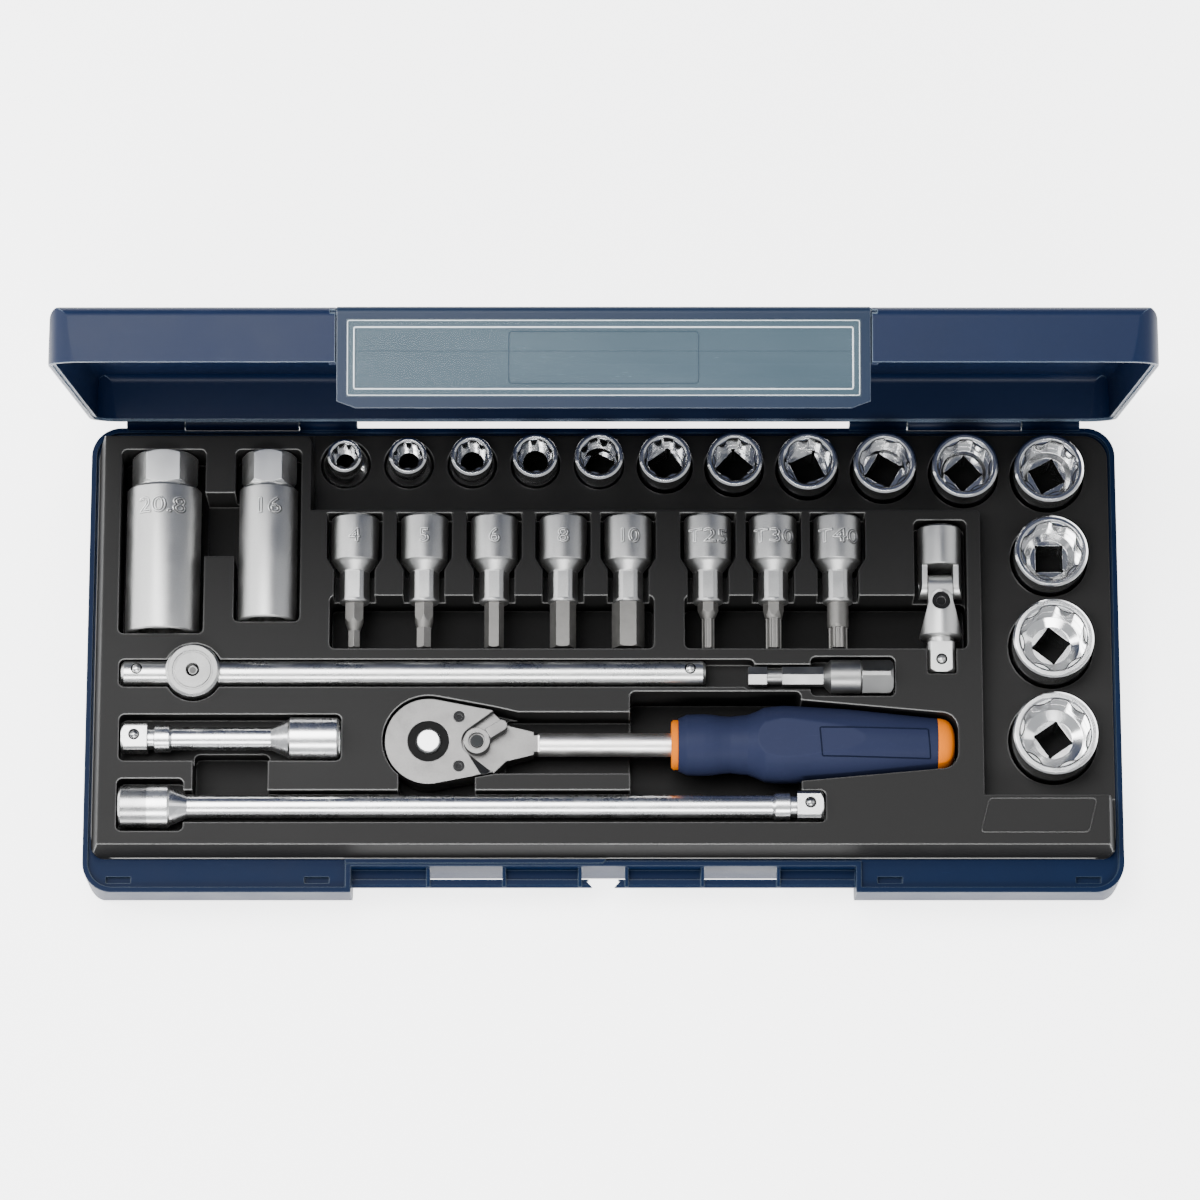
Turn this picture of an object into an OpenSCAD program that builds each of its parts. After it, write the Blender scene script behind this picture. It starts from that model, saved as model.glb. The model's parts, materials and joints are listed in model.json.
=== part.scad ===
// Socket wrench set for a 3/8 inch drive, laid out in a hinged case.
// Units are millimetres. Origin: centre of the base's underside, +Z up, +Y towards the hinge.

/* [Case] */
// Room between the case's left side and the bars' ends
side_margin = 13.1; // [12.4:0.1:25]
// Room between the case's front and the long extension's axis
front_margin = 29.05; // [28.5:0.05:40]
// Room between the spark plug sockets and the case's rear
rear_margin = 11.45; // [10.6:0.05:20]
// Height of the base up to its rim
base_h = 22; // [20:0.5:30]
// Height of the lid above the rim
lid_h = 19; // [19:0.5:30]
// Wall of the two shells
shell_wall = 2.2; // [1.6:0.1:3]
// Corner radius in plan
corner_r = 10.6; // [8:0.2:14]
// Radius along the bottom and top edges
edge_r = 4; // [2.5:0.5:5]
// Draft of the shells' outer walls, degrees
shell_draft = 2.5; // [1:0.5:4]
// Width of the raised lip round the base
lip_w = 1.9; // [1.4:0.1:2.4]
// Drop from the lip to the ledge that carries the tray
lip_h = 2; // [1:0.25:3]
// Width of the ledge that carries the tray, measured from the outside
ledge_w = 5; // [4:0.25:7]
// How far the lid stands open
lid_open = 80.2; // [0:0.2:95]

/* [Hinge and latch] */
// Length of one hinge
hinge_l = 82.4; // [60:1:90]
// Distance of each hinge's middle from the case's middle
hinge_x = 129.3; // [110:1:135]
// Length of a hinge's middle knuckle, which belongs to the lid
knuckle_l = 40.6; // [30:1:50]
// Radius of the hinge knuckles
knuckle_r = 2.6; // [2.2:0.1:3]
// Radius of the hinge pins
hinge_pin_r = 1.25; // [0.8:0.05:1.5]
// Distance of the hinge axis behind the case's rear face
hinge_back = 1.8; // [1.6:0.1:2.5]
// Width of the latch flap
latch_w = 175; // [150:1:180]
// How far the latch flap reaches below the rim
latch_drop = 14.8; // [12:0.2:16]
// Thickness of the latch flap
latch_t = 2.6; // [2:0.1:3]
// Radius of the latch flap's pins
latch_pin_r = 1.2; // [0.8:0.05:1.4]
// Depth of the lid's recess for the latch flap
latch_recess = 5; // [4.8:0.1:6]
// Depth of the base's recess behind the latch flap
finger_recess = 9.35; // [8:0.25:9.5]
// Width of the flap's frame on each side of the clear window
window_side = 3.3; // [2.6:0.1:20]
// Height of the clear window
window_h = 25.4; // [20:0.2:26]

/* [Tray] */
// Sheet thickness of the formed tray
tray_t = 1.2; // [0.8:0.1:1.6]
// Height of the plateau above the base's underside
plateau_z = 31.5; // [30.5:0.25:32]
// How far the tray's outer walls lean in
tray_lean = 3; // [1:0.25:4]
// Gap between a tool and its seat in the tray
seat_gap = 0.3; // [0.25:0.05:0.5]
// Gap between a tool's side and its pocket
side_gap = 0.9; // [0.5:0.1:1.2]
// Depth of the blind finger recesses above the base's underside
recess_z = 9; // [6:0.5:14]

/* [Drive] */
// Side of the square drive
drive_sq = 9.5; // [9:0.1:10]
// Clearance of a square drive in its hole, all told
drive_gap = 0.2; // [0.1:0.05:0.4]
// Length of a square drive
drive_l = 10.5; // [9:0.5:12]
// Radius of the locking balls
ball_r = 1.9; // [1.5:0.1:2.2]

/* [Sockets] */
// Length of a standing socket
socket_l = 28; // [26:0.5:29]
// Length of the two largest sockets
long_socket_l = 30; // [28:0.5:31]
// Diameter of the smaller sockets' drive end
socket_drive_d = 16.9; // [16:0.1:17.4]
// Depth of the wavy mouth
mouth_l = 10; // [8:0.5:12]
// Underside of the standing sockets above the base's underside
socket_z = 5.5; // [4.5:0.25:7]

/* [Spark plug sockets] */
// Length of a spark plug socket
plug_l = 66; // [60:1:67]
// Length of its outer hexagon
plug_hex_l = 12.5; // [10:0.5:14]
// Diameter of the large spark plug socket
plug_large_d = 26.4; // [25:0.2:27]
// Diameter of the small spark plug socket
plug_small_d = 20.8; // [20:0.2:22]

/* [Bit sockets] */
// Diameter of a bit socket's body
holder_d = 16.8; // [16:0.2:17.4]
// Diameter of a bit socket's neck
neck_d = 10.6; // [10:0.2:11]
// Length of a bit socket's body
holder_l = 17.1; // [15:0.5:18]
// Length of a bit socket's neck
neck_l = 14.4; // [12:0.5:15]
// How far a bit stands out of its holder
bit_out = 16.4; // [14:0.2:17]

/* [Extensions and sliding bar] */
// Overall length of the short extension
short_l = 76.6; // [70:0.5:77]
// Overall length of the long extension
long_l = 247; // [200:1:247.5]
// Diameter of the extensions' socket ends
ext_end_d = 15; // [14.2:0.2:15.4]
// Diameter of the extensions' shafts
shaft_d = 8; // [7:0.2:8.6]
// Length of the sliding bar
bar_l = 206; // [190:1:206.5]
// Diameter of the sliding bar
bar_d = 8.8; // [8:0.1:9.4]
// Diameter of the sliding head
head_d = 19.2; // [18.4:0.2:20]

/* [Ratchet] */
// Radius of the ratchet's head
ratchet_r = 15.3; // [14.8:0.1:16]
// Thickness of the ratchet's head
ratchet_t = 12.6; // [11.6:0.1:13]
// Diameter of the ratchet's shank
shank_d = 8.2; // [7:0.2:9]
// Number of teeth on the drive gear
gear_teeth = 36; // [24:12:72]
// Radius over the drive gear's teeth
gear_r = 10; // [9.4:0.1:10.2]
// Radius of the release button
button_r = 4.4; // [3.8:0.1:4.8]
// Length of the blue part of the grip
grip_l = 91.3; // [80:0.5:91.5]
// Largest width of the grip
grip_w = 27.8; // [26:0.2:28]
// Height of the grip between its flats
grip_h = 24; // [22:0.5:25]

/* [Hidden] */
$fn = 96;
eps = 0.01;

// Standing sockets: sizes, the turn of each, and the room each takes in the tray
socket_sizes = [8, 9, 10, 11, 12, 13, 14, 15, 16, 17, 18, 19, 21, 22];
socket_turns = [0, 15, 40, 20, 62, 35, 48, 25, 60, 42, 28, 0, 52, 35];
row_n = 11;
size_share = 1.26;
size_wall = 2.05;
foot_step = 2;

function socket_d(i) = size_share * socket_sizes[i] + size_wall;
function foot_d(i) = max(socket_drive_d, socket_d(i) - foot_step);
function stand_d(i) = max(socket_d(i), foot_d(i));
function socket_len(i) = socket_sizes[i] > 20 ? long_socket_l : socket_l;
function total(list, n) = n < 1 ? 0 : list[n - 1] + total(list, n - 1);

// Room between the tools, side to side
plug_side = 13.4;
plug_gap = 13.7;
shelf_side = 5.7;
holder_side = 6.4;
holder_gaps = [7.9, 8, 7.6, 6.3, 11.5, 6.4, 6];
ujoint_room = 20.2;
ujoint_side = 7.5;
bar_room = 14.9;
adapter_l = 51.2;
adapter_room = 17.2;
short_side = 0.5;
short_room = 16;
grip_room = 10.8;
column_side = 18.63;

// Room between the tools, front to rear
ext_pitch = 24.4;
bar_pitch = 23.6;
plug_room = 15;
adapter_back = 1.3;
tip_room = 5.2;
holder_room = 2.6;
shelf_front = 1.67;
row_rear = 4.95;
row_bow = 0.35;

// Sizes of the tools that set the case's outline
ujoint_r = 7.7;
ujoint_l = 53.5;
ujoint_slot_l = 33.3;
adapter_r = 6;
grip_x0 = 87.9;
cap_l = 6.1;

// The widest of the three rows sets the width, the deepest stack the depth
shelf_at = plug_side + plug_large_d + plug_gap + plug_small_d + shelf_side;
bits_at = shelf_at + holder_side + 8 * holder_d + total(holder_gaps, 7) + ujoint_room;
bars_at = side_margin + bar_l + bar_room + adapter_l + adapter_room - ujoint_r;
ratchet_at = side_margin + short_side + short_l + short_room + ratchet_r;
column_at = max(bits_at + 2 * ujoint_r + ujoint_side, bars_at + 2 * ujoint_r + ujoint_side,
                ratchet_at + grip_x0 + grip_l + cap_l + grip_room);
case_w = column_at + socket_d(13) + column_side;
shelf_d = row_rear + 2 * row_bow + stand_d(row_n - 1) + shelf_front;
case_d = max(front_margin + ext_pitch + bar_pitch + plug_room + plug_l + rear_margin,
             front_margin + ext_pitch + bar_pitch - adapter_back + adapter_r + tip_room
             + bit_out + neck_l + holder_l + holder_room + shelf_d);

// Case levels and outlines
rim_z = base_h;
ledge_z = rim_z - lip_h;
top_z = base_h + lid_h;
front_y = -case_d / 2;
rear_y = case_d / 2;
left_x = -case_w / 2;
right_x = case_w / 2;
hinge_y = rear_y + hinge_back;
part_gap = 0.3;
run_gap = 0.05;
tray_x = case_w / 2 - 2.7;
tray_front = front_y + 12.15;
tray_rear = rear_y - 2.7;
tray_r = 9;
terrace_z = ledge_z + tray_t;
recess_half = latch_w / 2 + 1.2;
recess_wall_y = front_y + finger_recess;

// Latch flap in the closed case
latch_axis_y = front_y + 2.35;
latch_barrel_r = 2.3;
latch_axis_z = top_z - latch_barrel_r - 0.1;
latch_low_z = rim_z - latch_drop;
window_w = latch_w - 2 * window_side;
window_z = latch_low_z + 3.8;
window_lip = 1.4;

// Catch bar in the base's recess
bar_front = front_y + 3.2;
bar_back = front_y + 5.9;
bar_low = 12.5;
bar_top = 15.5;
shelf_top = 14.9;
bar_split = 3.9;
rib_x = [61.6, 34.9, 8.2];
rib_t = 1.2;

// Tool axes: each tool's place in the tray
plug_hex = 20.3;
plug_size = 20.8;
plug_small_size = 16;
plug_small_hex = 16.9;
plug_rear = rear_y - rear_margin;
plug_large_x = left_x + plug_side + plug_large_d / 2;
plug_small_x = plug_large_x + plug_gap + (plug_large_d + plug_small_d) / 2;
plug_large_z = 24.3;
plug_small_z = 26;
plug_small_l = plug_l - 4.3;

shelf_left = left_x + shelf_at;
shelf_rear_y = rear_y - shelf_d;
column_left = left_x + column_at;
holder_xs = [for (i = [0:7]) shelf_left + holder_side + (i + 0.5) * holder_d + total(holder_gaps, i)];
holder_rear = shelf_rear_y - holder_room;
neck_front = holder_rear - holder_l - neck_l;
holder_z = 26;
shank_hex = 6.35;
bit_seat = 9;
bit_turns = [30, 30, 0, 0, 0, 0, 0, 0];

ujoint_x = column_left - ujoint_side - ujoint_r;
ujoint_z = 26.3;
ujoint_cheek = 4.3;
ujoint_slot = ujoint_cheek + part_gap;
ujoint_rear = holder_rear - 3.9;
ujoint_body = ujoint_rear - 14.6;
ujoint_pitch_y = ujoint_rear - 21.6;
ujoint_yaw_y = ujoint_rear - 28.2;
ujoint_flare = ujoint_rear - 40.5;
ujoint_neck = ujoint_rear - 42.4;
ujoint_front = ujoint_rear - ujoint_l;
ujoint_pitch_r = 2;
ujoint_yaw_r = 3.2;

long_y = front_y + front_margin;
short_y = long_y + ext_pitch;
bar_y = short_y + bar_pitch;
bar_z = 29.5;
bar_x0 = left_x + side_margin;
head_x = bar_x0 + 25.4;
head_up = 6.3;
head_down = 8.2;

short_x0 = bar_x0 + short_side;
short_z = 29.5;
long_x0 = bar_x0 + 0.1;
long_z = 29.3;
ext_end_l = 18;
ext_square_l = 9.2;

adapter_x0 = bar_x0 + bar_l + bar_room;
adapter_y = bar_y - adapter_back;
adapter_z = 30;

ratchet_x = left_x + ratchet_at;
ratchet_y = short_y - 1;
ratchet_z = 24;
lever_x = 17.05;
lever_r = 4.6;
lever_reach = 12.2;
lever_turn = 32;
fan_r = 5.4;
fan_z = 2.9;
head_tangent = 2.9;
tangent_y = sqrt(ratchet_r * ratchet_r - head_tangent * head_tangent);
shoulder_x = 22.5;
shoulder_y = 11.2;
finger_at = 70.8;
finger_l = 60.3;
channel_front = 12;
channel_rear = 10.2;
neck_x = 37;
collar_l = 2.5;
grip_half = grip_w / 2;
grip_end_r = 9.35;
button_z = 7.3;
hub_r = 7.3;
facet_start = [14.1, -4.9];
facet_end = [18.5, -12];

// Places of the standing sockets: a row with equal gaps along the rear, then a column
well_gap = 0.5;
column_gap = 5.12;
column_x = right_x - socket_d(13) / 2 - 9.415;
row_x0 = shelf_left + stand_d(0) / 2 + 2.45;
row_x1 = right_x - stand_d(row_n - 1) / 2 - 12.135;
row_ds = [for (i = [0:row_n - 1]) stand_d(i)];
row_gap = (row_x1 - row_x0 - total(row_ds, row_n) + (row_ds[0] + row_ds[row_n - 1]) / 2) / (row_n - 1);

function row_x(i) = row_x0 + total(row_ds, i) + (row_ds[i] - row_ds[0]) / 2 + i * row_gap;
function row_y(i) = rear_y - row_rear - row_ds[i] / 2 - max(0, i - row_n + 3) * row_bow;
function column_y(i) = i < row_n ? row_y(i) : column_y(i - 1) - (stand_d(i - 1) + stand_d(i)) / 2 - column_gap;
function socket_x(i) = i < row_n ? row_x(i) : column_x;
function socket_y(i) = i < row_n ? row_y(i) : column_y(i);

// ---------- shared outlines and blocks ----------

module rounded_rect(w, d, r) {
    square([w - 2 * r, d], center = true);
    square([w, d - 2 * r], center = true);
    for (sx = [-1, 1], sy = [-1, 1])
        translate([sx * (w / 2 - r), sy * (d / 2 - r)]) circle(r);
}

// Side view of a drafted shell: wide at height h, rounded at its bottom edges
module drafted_side(w, h, draft, r) {
    cx = w / 2 - (h - r) * tan(draft) - r / cos(draft);
    tx = cx + r * cos(draft);
    tz = r - r * sin(draft);
    polygon([[-w / 2, h], [w / 2, h], [tx, tz], [cx, 0], [-cx, 0], [-tx, tz]]);
    for (s = [-1, 1]) translate([s * cx, r]) circle(r);
}

module drafted_block(w, d, h, plan_r, draft, r) {
    intersection() {
        linear_extrude(h) rounded_rect(w, d, plan_r);
        rotate([90, 0, 0]) linear_extrude(d + 2, center = true) drafted_side(w, h, draft, r);
        rotate([90, 0, 90]) linear_extrude(w + 2, center = true) drafted_side(d, h, draft, r);
    }
}

module box(x0, x1, y0, y1, z0, z1) {
    translate([x0, y0, z0]) cube([x1 - x0, y1 - y0, z1 - z0]);
}

module both_sides() {
    children();
    mirror([1, 0, 0]) children();
}

module along_x(r, x0, x1, y, z) {
    translate([x0, y, z]) rotate([0, 90, 0]) cylinder(r = r, h = x1 - x0);
}

// Turns a profile drawn as [length, radius] about the X axis
module turned_x() {
    rotate([0, 90, 0]) rotate_extrude() rotate(90) mirror([0, 1, 0]) children();
}

// Turns the same about the Y axis, length running to +Y
module turned_y() {
    rotate([-90, 0, 0]) rotate_extrude() rotate(90) mirror([0, 1, 0]) children();
}

// Square drive hole with relieved corners
module drive_hole(h) {
    side = drive_sq + drive_gap;
    relief = 0.7;
    linear_extrude(h) {
        square(side, center = true);
        for (a = [45:90:315])
            rotate(a) translate([side / sqrt(2) - relief, 0]) circle(relief, $fn = 24);
    }
}

// Male square drive along +Z from z = 0, with a chamfered end
module drive_square(l) {
    edge = 1.1;
    relief = drive_sq / sqrt(2) * 0.9;
    intersection() {
        translate([-drive_sq / 2, -drive_sq / 2, 0]) cube([drive_sq, drive_sq, l]);
        union() {
            cylinder(r = relief, h = l - edge);
            translate([0, 0, l - edge]) cylinder(r1 = relief, r2 = relief - edge, h = edge);
        }
    }
}

// Wavy six-point outline that drives on the flanks of a nut
module wave_outline(size) {
    corner = size / sqrt(3) * 0.985;
    bulge = size * 0.34;
    difference() {
        circle(corner);
        for (a = [0:60:300]) rotate(a) translate([size / 2 + bulge, 0]) circle(bulge);
    }
}

module hexagon(flats) {
    circle(flats / sqrt(3), $fn = 6);
}

// Six-lobed star outline
module star_outline(d) {
    lobe = d * 0.1;
    valley = d * 0.15;
    difference() {
        union() {
            circle(d * 0.42);
            for (a = [0:60:300]) rotate(a) translate([d / 2 - lobe, 0]) circle(lobe, $fn = 24);
        }
        for (a = [30:60:330]) rotate(a) translate([d / 2 + valley * 0.42, 0]) circle(valley, $fn = 24);
    }
}

// ---------- case ----------

module base_recess() {
    box(-recess_half, recess_half, front_y - 1, recess_wall_y, -1, rim_z + 1);
}

module base_cavity() {
    front = tray_front + ledge_w - 2.7;
    inner_w = case_w - 2 * ledge_w;
    back = tray_rear - 0.5;
    translate([0, (back + front) / 2, shell_wall])
        drafted_block(inner_w, back - front, rim_z, corner_r - 3, 0, shell_wall);
}

// Space inside the raised lip, which follows the recess too
module base_ledge_cut() {
    difference() {
        translate([0, 0, ledge_z])
            linear_extrude(lip_h + 1)
                rounded_rect(case_w - 2 * lip_w, case_d - 2 * lip_w, corner_r - lip_w);
        box(-recess_half - lip_w, recess_half + lip_w, front_y, recess_wall_y + lip_w, 0, rim_z + 2);
    }
}

module catch_bar_side() {
    nose = 0.7;
    polygon([
        [bar_back, bar_low], [bar_back, bar_top], [bar_front + nose, bar_top],
        [bar_front, bar_top - nose], [bar_front, bar_low + nose], [bar_front + nose / 2, bar_low]
    ]);
}

module catch_bar() {
    bevel = 1.4;
    web_x = [[recess_half, rib_x[0]], [rib_x[1], rib_x[2]]];
    both_sides() {
        difference() {
            translate([bar_split, 0, 0]) rotate([90, 0, 90])
                linear_extrude(recess_half - bar_split) catch_bar_side();
            translate([bar_split, bar_front, bar_low - 1]) rotate([0, 0, 45])
                cube([bevel * 2, bevel * 2, bar_top - bar_low + 2], center = false);
        }
        for (w = web_x) box(w[1], w[0], bar_back - eps, recess_wall_y + eps, bar_low, shelf_top);
        for (x = rib_x)
            translate([x - rib_t / 2, 0, 0]) rotate([90, 0, 90]) linear_extrude(rib_t)
                polygon([
                    [recess_wall_y + eps, bar_low], [recess_wall_y + eps, ledge_z],
                    [bar_back, bar_top + 2], [bar_front, bar_top], [bar_front, bar_low + 1]
                ]);
    }
}

module hinge_knuckle(x0, x1, side) {
    arm = knuckle_r * 0.8;
    along_x(knuckle_r, x0, x1, hinge_y, rim_z);
    if (side < 0) box(x0, x1, rear_y - 1, hinge_y, rim_z - arm - knuckle_r, rim_z - part_gap);
    else box(x0, x1, rear_y - 1, hinge_y, rim_z + part_gap, rim_z + arm + knuckle_r);
}

module base_shell() {
    slot_w = 8.7;
    slot_d = 2.2;
    slot_deep = 1.6;
    slot_y = front_y + 4.75;
    slot_x = [recess_half + 12, right_x - 12.6];
    rail_h = lip_h + 0.6;
    rail_d = 1.6;
    rail_w = 90.7;
    half = knuckle_l / 2;
    color([0.16, 0.24, 0.38]) difference() {
        union() {
            difference() {
                drafted_block(case_w, case_d, base_h, corner_r, shell_draft, edge_r);
                base_cavity();
                base_ledge_cut();
                base_recess();
                for (s = [-1, 1], x = slot_x)
                    translate([s * x, slot_y, ledge_z]) cube([slot_w, slot_d, 2 * slot_deep], center = true);
                both_sides()
                    along_x(knuckle_r + part_gap, hinge_x - half - part_gap, hinge_x + half + part_gap,
                            hinge_y, rim_z);
            }
            catch_bar();
            difference() {
                box(-rail_w, rail_d / 2, tray_front - part_gap - rail_d, tray_front - part_gap,
                    ledge_z - eps, ledge_z + rail_h);
                translate([rail_d / 2, tray_front - part_gap - rail_d, ledge_z]) rotate(45)
                    cube([rail_d, rail_d, 4 * rail_h], center = true);
            }
            both_sides() {
                hinge_knuckle(hinge_x - hinge_l / 2, hinge_x - half - part_gap, -1);
                hinge_knuckle(hinge_x + half + part_gap, hinge_x + hinge_l / 2, -1);
            }
        }
        both_sides() along_x(hinge_pin_r, hinge_x - hinge_l / 2 - 1, hinge_x + hinge_l / 2 + 1, hinge_y, rim_z);
    }
}

module hinge_pins() {
    color([0.55, 0.56, 0.58]) both_sides()
        along_x(hinge_pin_r, hinge_x - hinge_l / 2, hinge_x + hinge_l / 2, hinge_y, rim_z);
}

// Puts what is drawn on the closed case at the lid's open angle
module opened() {
    translate([0, hinge_y, rim_z]) rotate([-lid_open, 0, 0]) translate([0, -hinge_y, -rim_z]) children();
}

module lid_outer() {
    translate([0, 0, top_z]) mirror([0, 0, 1])
        drafted_block(case_w, case_d, lid_h - part_gap, corner_r, shell_draft, edge_r);
}

module lid_shell() {
    tub_wall = shell_wall;
    half = knuckle_l / 2;
    side_x = latch_w / 2 + 0.5;
    back_y = front_y + latch_recess;
    rebate_w = 0.9;
    rebate_h = 0.6;
    color([0.16, 0.24, 0.38]) opened() difference() {
        union() {
            difference() {
                lid_outer();
                translate([0, 0, top_z - shell_wall]) mirror([0, 0, 1])
                    drafted_block(case_w - 2 * shell_wall, case_d - 2 * shell_wall, lid_h,
                                  corner_r - shell_wall, shell_draft, edge_r - 1);
                translate([0, 0, rim_z - 1]) linear_extrude(1 + part_gap + rebate_h)
                    rounded_rect(case_w - 2 * (shell_wall - rebate_w), case_d - 2 * (shell_wall - rebate_w),
                                 corner_r - shell_wall + rebate_w);
                both_sides() {
                    along_x(knuckle_r + part_gap, hinge_x - hinge_l / 2 - part_gap,
                            hinge_x - half, hinge_y, rim_z);
                    along_x(knuckle_r + part_gap, hinge_x + half,
                            hinge_x + hinge_l / 2 + part_gap, hinge_y, rim_z);
                }
            }
            intersection() {
                lid_outer();
                box(-side_x - tub_wall, side_x + tub_wall, front_y - 1, back_y + tub_wall, rim_z, top_z);
            }
            both_sides() hinge_knuckle(hinge_x - half, hinge_x + half, 1);
        }
        box(-side_x, side_x, front_y - 1, back_y, rim_z - 1, top_z + 1);
        along_x(latch_pin_r + run_gap, -side_x - 1.8, side_x + 1.8, latch_axis_y, latch_axis_z);
        both_sides() along_x(hinge_pin_r + run_gap, hinge_x - half - 1, hinge_x + half + 1, hinge_y, rim_z);
    }
}

module latch_flap() {
    half = latch_w / 2;
    face_y = latch_axis_y - latch_barrel_r;
    bevel_x = 6.2;
    bevel_z = 2.3;
    lower_t = latch_t - 0.6;
    bead_z = bar_low - 3;
    bead_h = 1.6;
    color([0.16, 0.24, 0.38]) opened() difference() {
        union() {
            along_x(latch_barrel_r, -half, half, latch_axis_y, latch_axis_z);
            translate([0, face_y + lower_t, 0]) rotate([90, 0, 0]) linear_extrude(lower_t)
                polygon([
                    [-half, latch_axis_z], [half, latch_axis_z], [half, latch_low_z + bevel_z],
                    [half - bevel_x, latch_low_z], [-half + bevel_x, latch_low_z],
                    [-half, latch_low_z + bevel_z]
                ]);
            box(-half, half, face_y + lower_t - eps, face_y + latch_t, rim_z, latch_axis_z);
            box(-half + bevel_x, half - bevel_x, face_y + lower_t - eps, bar_front - part_gap,
                bead_z, bead_z + bead_h);
            along_x(latch_pin_r, -half - 2, half + 2, latch_axis_y, latch_axis_z);
        }
        box(-window_w / 2, window_w / 2, face_y - 1, face_y + 1.2, window_z, window_z + window_h);
        box(-window_w / 2 + window_lip, window_w / 2 - window_lip, face_y - 1, face_y + latch_recess,
            window_z + window_lip, window_z + window_h - window_lip);
    }
}

module latch_window() {
    face_y = latch_axis_y - latch_barrel_r;
    seat = 1.2;
    proud = 0.3;
    frame_w = 2.2;
    color([0.75, 0.86, 0.95, 0.4]) opened() {
        difference() {
            box(-window_w / 2, window_w / 2, face_y - proud, face_y + seat, window_z, window_z + window_h);
            box(-window_w / 2 + frame_w, window_w / 2 - frame_w, face_y - 1, face_y,
                window_z + frame_w, window_z + window_h - frame_w);
        }
    }
}

// ---------- tray ----------

// Raised block of the tray, its walls leaning in by the lean given for each side
module plateau_block(x0, x1, y0, y1, h, r, lean_x0, lean_x1, lean_y0, lean_y1) {
    translate([0, 0, terrace_z - tray_t]) intersection() {
        translate([(x0 + x1) / 2, (y0 + y1) / 2, 0]) linear_extrude(h) rounded_rect(x1 - x0, y1 - y0, r);
        rotate([90, 0, 0]) translate([0, 0, -y1 - 1]) linear_extrude(y1 - y0 + 2)
            polygon([[x0, 0], [x1, 0], [x1 - lean_x1, h], [x0 + lean_x0, h]]);
        rotate([90, 0, 90]) translate([0, 0, x0 - 1]) linear_extrude(x1 - x0 + 2)
            polygon([[y0, 0], [y1, 0], [y1 - lean_y1, h], [y0 + lean_y0, h]]);
    }
}

column_front = socket_y(13) - socket_d(13) / 2 - 5.64;

// Three overlapping blocks leave the L-shaped terrace free; inset t makes the hollow side
module plateau(t) {
    h = plateau_z - terrace_z + tray_t - t;
    inner_lean = 1;
    wall_r = 5;
    low = tray_lean;
    plateau_block(-tray_x + t, column_left - t, tray_front + t, shelf_rear_y - t, h, wall_r,
                  low, inner_lean, low, inner_lean);
    plateau_block(-tray_x + t, shelf_left - t, tray_front + t, tray_rear - t, h, tray_r - t,
                  low, inner_lean, low, low);
    plateau_block(-tray_x + t, tray_x - t, tray_front + t, column_front - t, h, wall_r,
                  low, low, low, inner_lean);
}

// Pocket with rounded upright corners; g grows it all round by the sheet's thickness
module trough(x0, x1, y0, y1, floor_z, g, r = 2) {
    translate([(x0 + x1) / 2, (y0 + y1) / 2, floor_z - g])
        linear_extrude(plateau_z - floor_z + g + 1) rounded_rect(x1 - x0 + 2 * g, y1 - y0 + 2 * g, r + g);
}

// Pocket whose width steps from one size to another with sloping shoulders, along Y
module shouldered(x, half0, half1, y0, y1, y2, y3, floor_z, g) {
    translate([x, 0, floor_z - g]) linear_extrude(plateau_z - floor_z + g + 1) polygon([
        [-half0 - g, y0 - g], [half0 + g, y0 - g], [half0 + g, y1], [half1 + g, y2],
        [half1 + g, y3 + g], [-half1 - g, y3 + g], [-half1 - g, y2], [-half0 - g, y1]
    ]);
}

module well(x, y, r, floor_z, g) {
    translate([x, y, floor_z - g]) cylinder(r = r + g, h = plateau_z - floor_z + g + 1);
}

module socket_wells(g) {
    for (i = [0:len(socket_sizes) - 1])
        well(socket_x(i), socket_y(i), max(socket_d(i), foot_d(i)) / 2 + (i < 5 ? well_gap : side_gap),
             socket_z - seat_gap, g);
}

module plug_troughs(g) {
    rear = plug_rear + 0.7;
    half = plug_large_d / 2 + 2 * side_gap;
    half_small = plug_small_d / 2 + 1.5 * side_gap;
    trough(plug_large_x - half, plug_large_x + half, plug_rear - plug_l - side_gap, rear,
           plug_large_z - plug_large_d / 2 - seat_gap, g);
    trough(plug_small_x - half_small, plug_small_x + half_small, plug_rear - plug_small_l - side_gap, rear,
           plug_small_z - plug_small_d / 2 - seat_gap, g);
    trough(plug_large_x + half - 3, plug_small_x - half_small + 3, plug_rear - 38.6, plug_rear - 15.3,
           recess_z + 3, g);
}

module bit_troughs(g) {
    body_front = holder_rear - holder_l - side_gap;
    tip_y = neck_front - bit_out - 1.3;
    tip_rear = neck_front + 1.7;
    neck_half = neck_d / 2 + 2.2 * side_gap;
    for (x = holder_xs) {
        shouldered(x, neck_half, holder_d / 2 + 1.6 * side_gap, tip_rear - 2,
                   body_front - 2.5, body_front + 2, holder_rear + 0.5, holder_z - neck_d / 2 - seat_gap, g);
        trough(x - neck_half, x + neck_half, body_front - 2.6, holder_rear + 0.5,
               holder_z - holder_d / 2 - seat_gap, g, 1);
    }
    trough(holder_xs[0] - 8.6, holder_xs[4] + 9.1, tip_y, tip_rear, recess_z, g);
    trough(holder_xs[5] - 8.4, ujoint_x + ujoint_r + 1.5, tip_y, tip_rear, recess_z, g);
}

module ujoint_troughs(g) {
    half = ujoint_r + 1.6;
    trough(ujoint_x - half, ujoint_x + half, ujoint_flare + 10, ujoint_rear + 1.7,
           ujoint_z - ujoint_r - seat_gap, g);
    trough(ujoint_x - drive_sq / 2 - 0.4, ujoint_x + drive_sq / 2 + 0.4, ujoint_front - 0.9, ujoint_flare,
           ujoint_z - drive_sq / 2 - seat_gap, g, 1);
}

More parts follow.
